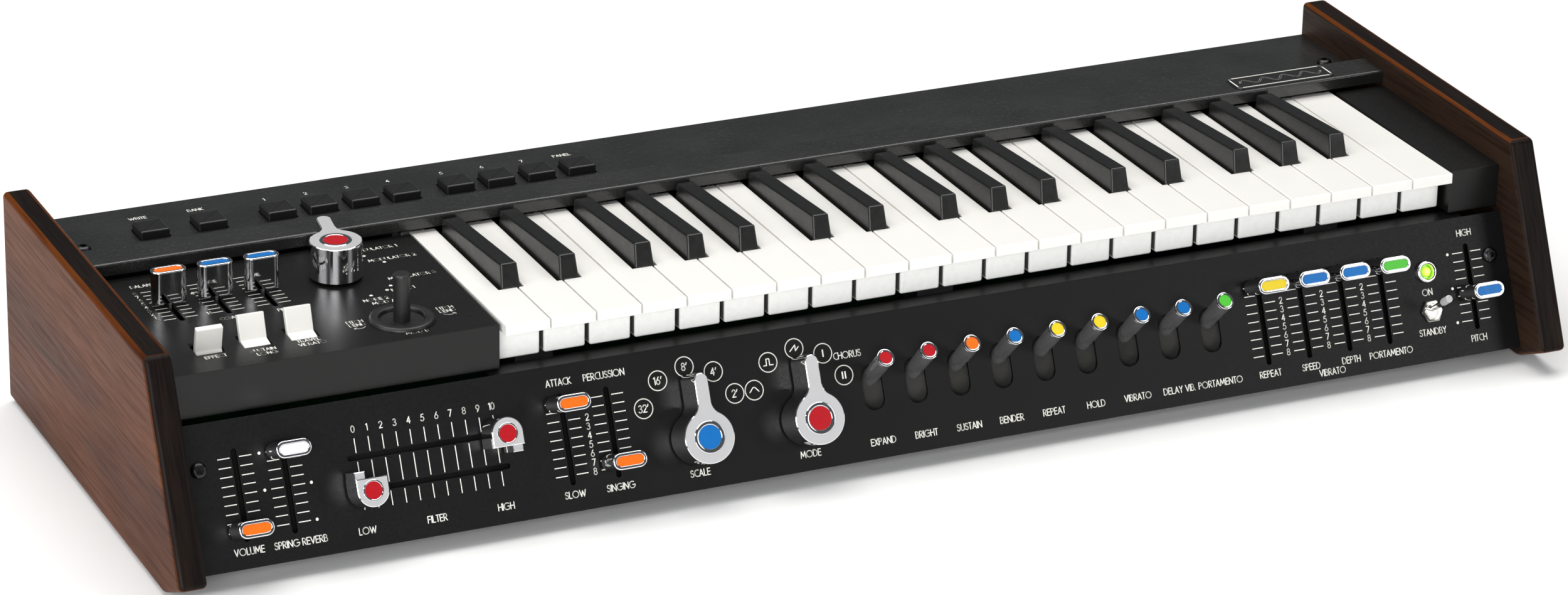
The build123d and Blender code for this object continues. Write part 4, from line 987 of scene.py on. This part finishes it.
piece = Piece("case_screws")
for side in (-1, 1):
    add_screw(piece, on_panel(side * 347.8, 55.6), 4.0)
    add_screw(piece, on_cover(side * 346.0, 83.6), 4.0)
    rear = Matrix.Translation((side * 300.0, 128.6, 86.0)) @ Matrix.Rotation(-math.pi / 2, 4, "X")
    add_screw(piece, rear, 3.6)
for x in (-334, -112, 122, 344):
    for y in (-92.5, 112.0):
        add_screw(piece, Matrix.Translation((x, y, 4.4)) @ Matrix.Rotation(math.pi, 4, "X"), 3.6)
piece.build("case", ("screws",), 30.0)

# ---- lettering: a plain stroke alphabet drawn on a unit-high letter ----

STEM = [(0, 0), (0, 1)]
BOWL = STEM + bow(0.20, 0.74, 0.26, 0.26, 90, -90) + [(0, 0.48)]
LETTERS = {
    "A": (0.62, [[(0, 0), (0.31, 1), (0.62, 0)], [(0.10, 0.32), (0.52, 0.32)]]),
    "B": (0.50, [[(0, 0.53), (0, 1)] + bow(0.22, 0.765, 0.21, 0.235, 90, -90) + [(0, 0.53)],
                 [(0, 0.53), (0, 0)] + bow(0.24, 0.265, 0.26, 0.265, -90, 90) + [(0, 0.53)]]),
    "C": (0.60, [bow(0.46, 0.5, 0.46, 0.5, 66, 294, 18)]),
    "D": (0.64, [STEM + bow(0.16, 0.5, 0.48, 0.5, 90, -90, 14) + [(0, 0)]]),
    "E": (0.44, [[(0.44, 1), (0, 1), (0, 0), (0.44, 0)], [(0, 0.52), (0.42, 0.52)]]),
    "F": (0.42, [[(0.42, 1), (0, 1), (0, 0)], [(0, 0.52), (0.38, 0.52)]]),
    "G": (0.86, [bow(0.48, 0.5, 0.48, 0.5, 55, 360, 20) + [(0.56, 0.5)]]),
    "H": (0.58, [STEM, [(0.58, 0), (0.58, 1)], [(0, 0.52), (0.58, 0.52)]]),
    "I": (0.0, [STEM]),
    "K": (0.48, [STEM, [(0.44, 1), (0.02, 0.52), (0.48, 0)]]),
    "L": (0.38, [[(0, 1), (0, 0), (0.38, 0)]]),
    "M": (0.80, [[(0, 0), (0.10, 1), (0.40, 0.22), (0.70, 1), (0.80, 0)]]),
    "N": (0.62, [[(0, 0), (0, 1), (0.62, 0), (0.62, 1)]]),
    "O": (0.96, [bow(0.48, 0.5, 0.48, 0.5, 90, 450, 28)]),
    "P": (0.46, [BOWL]),
    "R": (0.50, [BOWL, [(0.18, 0.48), (0.50, 0)]]),
    "S": (0.46, [bow(0.23, 0.76, 0.20, 0.24, 30, 260, 12) + bow(0.22, 0.27, 0.24, 0.27, 80, -155, 12)]),
    "T": (0.42, [[(0, 1), (0.42, 1)], [(0.21, 1), (0.21, 0)]]),
    "U": (0.56, [[(0, 1), (0, 0.28)] + bow(0.28, 0.28, 0.28, 0.28, 180, 360, 12) + [(0.56, 1)]]),
    "V": (0.60, [[(0, 1), (0.30, 0), (0.60, 1)]]),
    "W": (0.98, [[(0, 1), (0.26, 0), (0.49, 0.88), (0.72, 0), (0.98, 1)]]),
    "X": (0.50, [[(0, 0), (0.50, 1)], [(0, 1), (0.50, 0)]]),
    "Y": (0.52, [[(0, 1), (0.26, 0.48), (0.52, 1)], [(0.26, 0.48), (0.26, 0)]]),
    "0": (0.52, [bow(0.26, 0.5, 0.26, 0.5, 90, 450, 24)]),
    "1": (0.18, [[(0, 0.86), (0.18, 1), (0.18, 0)]]),
    "2": (0.50, [bow(0.25, 0.72, 0.24, 0.28, 165, -35, 12) + [(0, 0), (0.50, 0)]]),
    "3": (0.46, [bow(0.21, 0.76, 0.20, 0.24, 150, -90, 12) + bow(0.20, 0.26, 0.26, 0.26, 90, -150, 12)]),
    "4": (0.54, [[(0.40, 0), (0.40, 1), (0, 0.28), (0.54, 0.28)]]),
    "5": (0.48, [[(0.44, 1), (0.12, 1), (0.04, 0.56)] + bow(0.20, 0.32, 0.28, 0.32, 110, -150, 14)]),
    "6": (0.52, [[(0.38, 1), (0.05, 0.44)] + bow(0.26, 0.30, 0.26, 0.30, 152, -208, 22)]),
    "7": (0.50, [[(0, 1), (0.50, 1), (0.14, 0)]]),
    "8": (0.50, [bow(0.25, 0.765, 0.21, 0.235, -90, 270, 18), bow(0.25, 0.265, 0.25, 0.265, 90, 450, 20)]),
    "9": (0.52, [bow(0.26, 0.70, 0.26, 0.30, -28, 332, 22), [(0.49, 0.56), (0.16, 0)]]),
    ".": (0.0, [[(0, 0), (0, 0.03)]]),
    "'": (0.10, [[(0.10, 1), (0, 0.72)]]),
    " ": (0.22, []),
}
LETTER_GAP = 0.18
INK_HEIGHT = 0.04


def add_stroke(piece, points, width, matrix, closed=False):
    """A thin printed line of a width along points, with round ends and joints."""
    vertices = []
    faces = []
    half = width / 2
    pairs = list(zip(points, points[1:]))
    if closed:
        pairs.append((points[-1], points[0]))
    for a, b in pairs:
        along = Vector(b) - Vector(a)
        if along.length < 1e-6:
            continue
        normal = Vector((-along.y, along.x)).normalized() * half
        base = len(vertices)
        for x, y in ((a[0] - normal.x, a[1] - normal.y), (b[0] - normal.x, b[1] - normal.y),
                     (b[0] + normal.x, b[1] + normal.y), (a[0] + normal.x, a[1] + normal.y)):
            vertices.append((x, y, INK_HEIGHT))
        faces.append((base, base + 1, base + 2, base + 3))
    for x, y in points:
        base = len(vertices)
        vertices += [(x + px, y + py, INK_HEIGHT) for px, py in circle(half, 10)]
        faces.append(tuple(range(base, base + 10)))
    piece.add((vertices, faces), INK, matrix)


def text_width(words, height):
    widths = [LETTERS[c][0] for c in words]
    return height * (sum(widths) + LETTER_GAP * (len(words) - 1))


def add_text(piece, words, matrix, height=3.15, weight=0.145):
    """Words centred on the matrix's origin, upright along its y."""
    x = -text_width(words, height) / 2
    for letter in words:
        width, strokes = LETTERS[letter]
        for stroke in strokes:
            placed = [(x + px * height, (py - 0.5) * height) for px, py in stroke]
            add_stroke(piece, placed, weight * height, matrix)
        x += (width + LETTER_GAP) * height


def add_line(piece, x0, y0, x1, y1, width, matrix):
    """A square-ended printed line."""
    along = Vector((x1 - x0, y1 - y0))
    normal = Vector((-along.y, along.x)).normalized() * width / 2
    corners = [(x0 - normal.x, y0 - normal.y), (x1 - normal.x, y1 - normal.y),
               (x1 + normal.x, y1 + normal.y), (x0 + normal.x, y0 + normal.y)]
    piece.add(([(x, y, INK_HEIGHT) for x, y in corners], [(0, 1, 2, 3)]), INK, matrix)


def add_dot(piece, radius, matrix):
    piece.add(([(x, y, INK_HEIGHT) for x, y in circle(radius, 20)], [tuple(range(20))]), INK, matrix)


TICK_FIRST_S = 52.1
TICK_PITCH = 4.38
TICK_COUNT = 9
TICK_WIDTH = 0.45
TICK_INNER = 2.3
TICK_OUTER = 8.4
DIGIT_HEIGHT = 3.1
SMALL_HEIGHT = 2.9
LABEL_S = 96.4
TOP_LABEL_S = 42.2


def add_ticks(piece, matrix):
    """The pair of scale lines on both sides of a slot."""
    for side in (-1, 1):
        add_line(piece, side * TICK_INNER, 0, side * TICK_OUTER, 0, TICK_WIDTH, matrix)


piece = Piece("panel_lettering")
PANEL_WORDS = {
    LABEL_S: {"VOLUME": -329.3, "SPRING REVERB": -303.8, "LOW": -270.5, "FILTER": -235.4, "HIGH": -200.4,
              "SLOW": -164.8, "SINGING": -141.3, "SCALE": SCALE_X, "MODE": -41.2, "REPEAT": 213.3,
              "SPEED": 236.6, "DEPTH": 259.8, "PORTAMENTO": 283.0, "PITCH": 334.7},
    TOP_LABEL_S: {"ATTACK": -164.8, "PERCUSSION": -141.3, "HIGH": 334.8},
    51.8: {"CHORUS": -14.3},
    69.2: {"ON": 308.8},
    89.4: {"STANDBY": 308.6},
    100.6: {"VIBRATO": 248.2},
}
for s, row in PANEL_WORDS.items():
    for words, x in row.items():
        add_text(piece, words, on_panel(x, s))
for i, words in enumerate(("EXPAND", "BRIGHT", "SUSTAIN", "BENDER", "REPEAT", "HOLD", "VIBRATO", "DELAY VIB.",
                           "PORTAMENTO")):
    add_text(piece, words, on_panel(LEVER_FIRST_X + 1.2 + i * LEVER_PITCH, LABEL_S))
for x, _, _ in FRONT_SLIDERS.values():
    for i in range(TICK_COUNT):
        add_ticks(piece, on_panel(x, TICK_FIRST_S + i * TICK_PITCH))
for x in (-153.0, 225.1, 248.4, 271.7):
    for digit in range(2, 9):
        add_text(piece, str(digit), on_panel(x, TICK_FIRST_S + digit * TICK_PITCH), DIGIT_HEIGHT)
for x, places in ((-317.4, (0, 4, 8)), (-294.3, (4, 8)), (323.6, (0, 4, 8))):
    for i in places:
        add_dot(piece, 0.75, on_panel(x, TICK_FIRST_S + i * TICK_PITCH))
FILTER_PITCH = 7.02
for i in range(11):
    x = FILTER_LEFT_X + i * FILTER_PITCH
    add_text(piece, str(i), on_panel(x, 48.2), DIGIT_HEIGHT)
    for s0, s1 in ((52.6, 59.6), (63.8, 75.5), (79.7, 86.6)):
        add_line(piece, 0, -s0, 0, -s1, TICK_WIDTH, on_panel(x, 0))
RING_RADIUS = 25.5
RING_CENTRE_S = 70.2


def ring_place(x, degrees):
    angle = math.radians(degrees)
    return on_panel(x + RING_RADIUS * math.sin(angle), RING_CENTRE_S - RING_RADIUS * math.cos(angle))


WAVE_CARET = [(-2.4, -0.9), (-0.5, 1.3), (0.5, 1.3), (2.4, -0.9)]
WAVE_SQUARE = [(-2.5, -1.4), (-0.9, -1.4), (-0.9, 1.7), (0.7, 1.7), (0.7, -1.4), (2.5, -1.4)]
WAVE_SAW = [(-2.4, -1.2), (0.6, 1.6), (0.6, -1.2), (2.4, 0.6)]
for i, degrees in enumerate((-70, -35, 0, 35, 70)):
    for x in (SCALE_X, MODE_X):
        add_stroke(piece, circle(4.75, 40), 0.5, ring_place(x, degrees), True)
    add_text(piece, ("32'", "16'", "8'", "4'", "2'")[i], ring_place(SCALE_X, degrees), 3.5)
    if i < 3:
        add_stroke(piece, (WAVE_CARET, WAVE_SQUARE, WAVE_SAW)[i], 0.5, ring_place(MODE_X, degrees))
for degrees, bars in ((35, (0.0,)), (70, (-0.75, 0.75))):
    for x in bars:
        add_line(piece, x, -1.8, x, 1.8, 0.75, ring_place(MODE_X, degrees))
piece.build("case", (), 80.0)

piece = Piece("upper_panel_lettering")
UPPER_TICK_FRONT = -14.0
UPPER_TICK_REAR = 21.1
UPPER_TICK_STEP = (UPPER_TICK_REAR - UPPER_TICK_FRONT) / (TICK_COUNT - 1)
UPPER_TICK_YS = [UPPER_TICK_FRONT + UPPER_TICK_STEP * i for i in range(TICK_COUNT)]
for x, _ in UPPER_SLIDERS.values():
    for y in UPPER_TICK_YS:
        add_ticks(piece, on_upper(x, y))
for digit, y in enumerate(UPPER_TICK_YS):
    add_text(piece, str(digit), on_upper(-340.6, y), SMALL_HEIGHT)
for words, x, y in (("BALANCE", -333.0, 29.0), ("COARSE", -306.0, -22.5), ("FINE", -280.5, -22.5),
                    ("EFFECT", -328.6, -62.6), ("SUSTAIN", -305.5, -63.3), ("LONG", -304.9, -67.6),
                    ("TRAVEL", -282.0, -60.8), ("VIBRATO", -281.4, -65.0), ("MODULATOR 1", -214.8, 30.9),
                    ("MODULATOR 2", -210.5, 17.4), ("MODULATOR 3", -209.2, -6.5), ("NOISE 1", -219.0, -20.0),
                    ("NOISE 2", -235.6, -27.4), ("MOD A", -233.2, -31.9), ("MOD B", -231.0, -70.5),
                    ("PITCH", -208.8, -49.0), ("BEND", -208.8, -52.8), ("PITCH", -254.6, -49.0),
                    ("BEND", -254.6, -52.8), ("16", -314.8, -13.6), ("8", -314.8, -1.0), ("4", -314.8, 11.6)):
    add_text(piece, words, on_upper(x, y), SMALL_HEIGHT)
for x, y in ((-215.8, 13.6), (-223.2, -14.6), (-236.2, -22.5), (-226.7, -19.0), (-222.5, 24.0)):
    add_dot(piece, 0.9, on_upper(x, y))
for side, x in ((1, -208.8), (-1, -254.6)):
    curve = [(side * px, py) for px, py in bow(0, 0.6, 3.2, 2.4, 200, 330, 10)]
    add_stroke(piece, curve, 0.4, on_upper(x, -55.6))
    tip = curve[-1]
    add_stroke(piece, [(tip[0] - side * 1.3, tip[1] + 0.1), tip, (tip[0] - side * 0.1, tip[1] - 1.2)], 0.4,
               on_upper(x, -55.6))
piece.build("case", (), 80.0)

piece = Piece("cover_lettering")
COVER_LABEL_Y = 113.5
BUTTON_LABELS = ["WRITE", "BANK", "1", "2", "3", "4", "5", "6", "7", "PANEL"]
for words, x in zip(BUTTON_LABELS, BUTTON_XS):
    add_text(piece, words, on_cover(x, COVER_LABEL_Y), SMALL_HEIGHT)
frame_line = inset(PLATE_OUTLINE, 1.1)
plate_place = STRIP @ Matrix.Translation((PLATE_X, PLATE_Y, 0.8))
add_stroke(piece, frame_line, 0.7, plate_place, True)
WAVE_LENGTH = 12.0
WAVE_HEIGHT = 2.6
wave = [(x * 0.5, WAVE_HEIGHT * math.sin(2 * math.pi * x * 0.5 / WAVE_LENGTH)) for x in range(-48, 49)]
add_stroke(piece, wave, 1.0, plate_place)
piece.build("case", (), 80.0)

# ---- floor, light and camera ----

floor_mesh = bpy.data.meshes.new("studio_floor")
FLOOR_HALF = 14.0
floor_corners = [(FLOOR_HALF * x, FLOOR_HALF * y, 0) for x, y in ((-1, -1), (1, -1), (1, 1), (-1, 1))]
floor_mesh.from_pydata(floor_corners, [], [(0, 1, 2, 3)])
floor = new_object("studio_floor", floor_mesh)
floor_mesh.materials.append(finish("studio_white", (0.93, 0.93, 0.93), 0.9, 0.02, tint=0.005, grain=5.0))

world = bpy.data.worlds.new("studio")
bpy.context.scene.world = world
world.use_nodes = True
set_inputs(world.node_tree.nodes["Background"], Color=(0.9, 0.95, 1.0, 1.0), Strength=0.10)


def area_light(name, place, target, width, height, power, colour=(1.0, 1.0, 1.0)):
    """A softbox that faces a target."""
    light = bpy.data.lights.new(name, "AREA")
    light.shape = "RECTANGLE"
    light.size = width
    light.size_y = height
    light.energy = power
    light.color = colour
    lamp = new_object(name, light)
    lamp.location = place
    lamp.rotation_euler = (Vector(target) - Vector(place)).to_track_quat("-Z", "Y").to_euler()


area_light("overhead", (0.0, 0.45, 2.4), (0, 0.1, 0), 3.6, 2.4, 88.0, (1.0, 0.99, 0.97))
area_light("left_side", (-2.4, -0.5, 1.0), (-0.1, 0, 0.1), 1.2, 1.2, 22.0)
area_light("front_left", (-1.5, -2.5, 0.9), (0.1, 0, 0.1), 1.6, 1.2, 50.0)
area_light("right_front", (2.15, -2.5, 1.15), (0.1, 0, 0.1), 1.0, 1.3, 15.0)

scene = bpy.context.scene
scene.view_settings.view_transform = "Standard"
camera_data = bpy.data.cameras.new("camera")
camera = new_object("camera", camera_data)
camera_data.lens = 131.8
camera_data.sensor_width = 36.0
camera_data.clip_end = 60.0
CAMERA_PLACE = (-1.1163, -2.3976, 1.1969)
CAMERA_RIGHT = (0.9111, -0.4118, 0.0199)
CAMERA_UP = (0.1474, 0.3704, 0.9171)
right = Vector(CAMERA_RIGHT).normalized()
up = Vector(CAMERA_UP).normalized()
back = right.cross(up)
turn = Matrix((right, up, back)).transposed().to_4x4()
camera.matrix_world = Matrix.Translation(CAMERA_PLACE) @ turn
scene.camera = camera
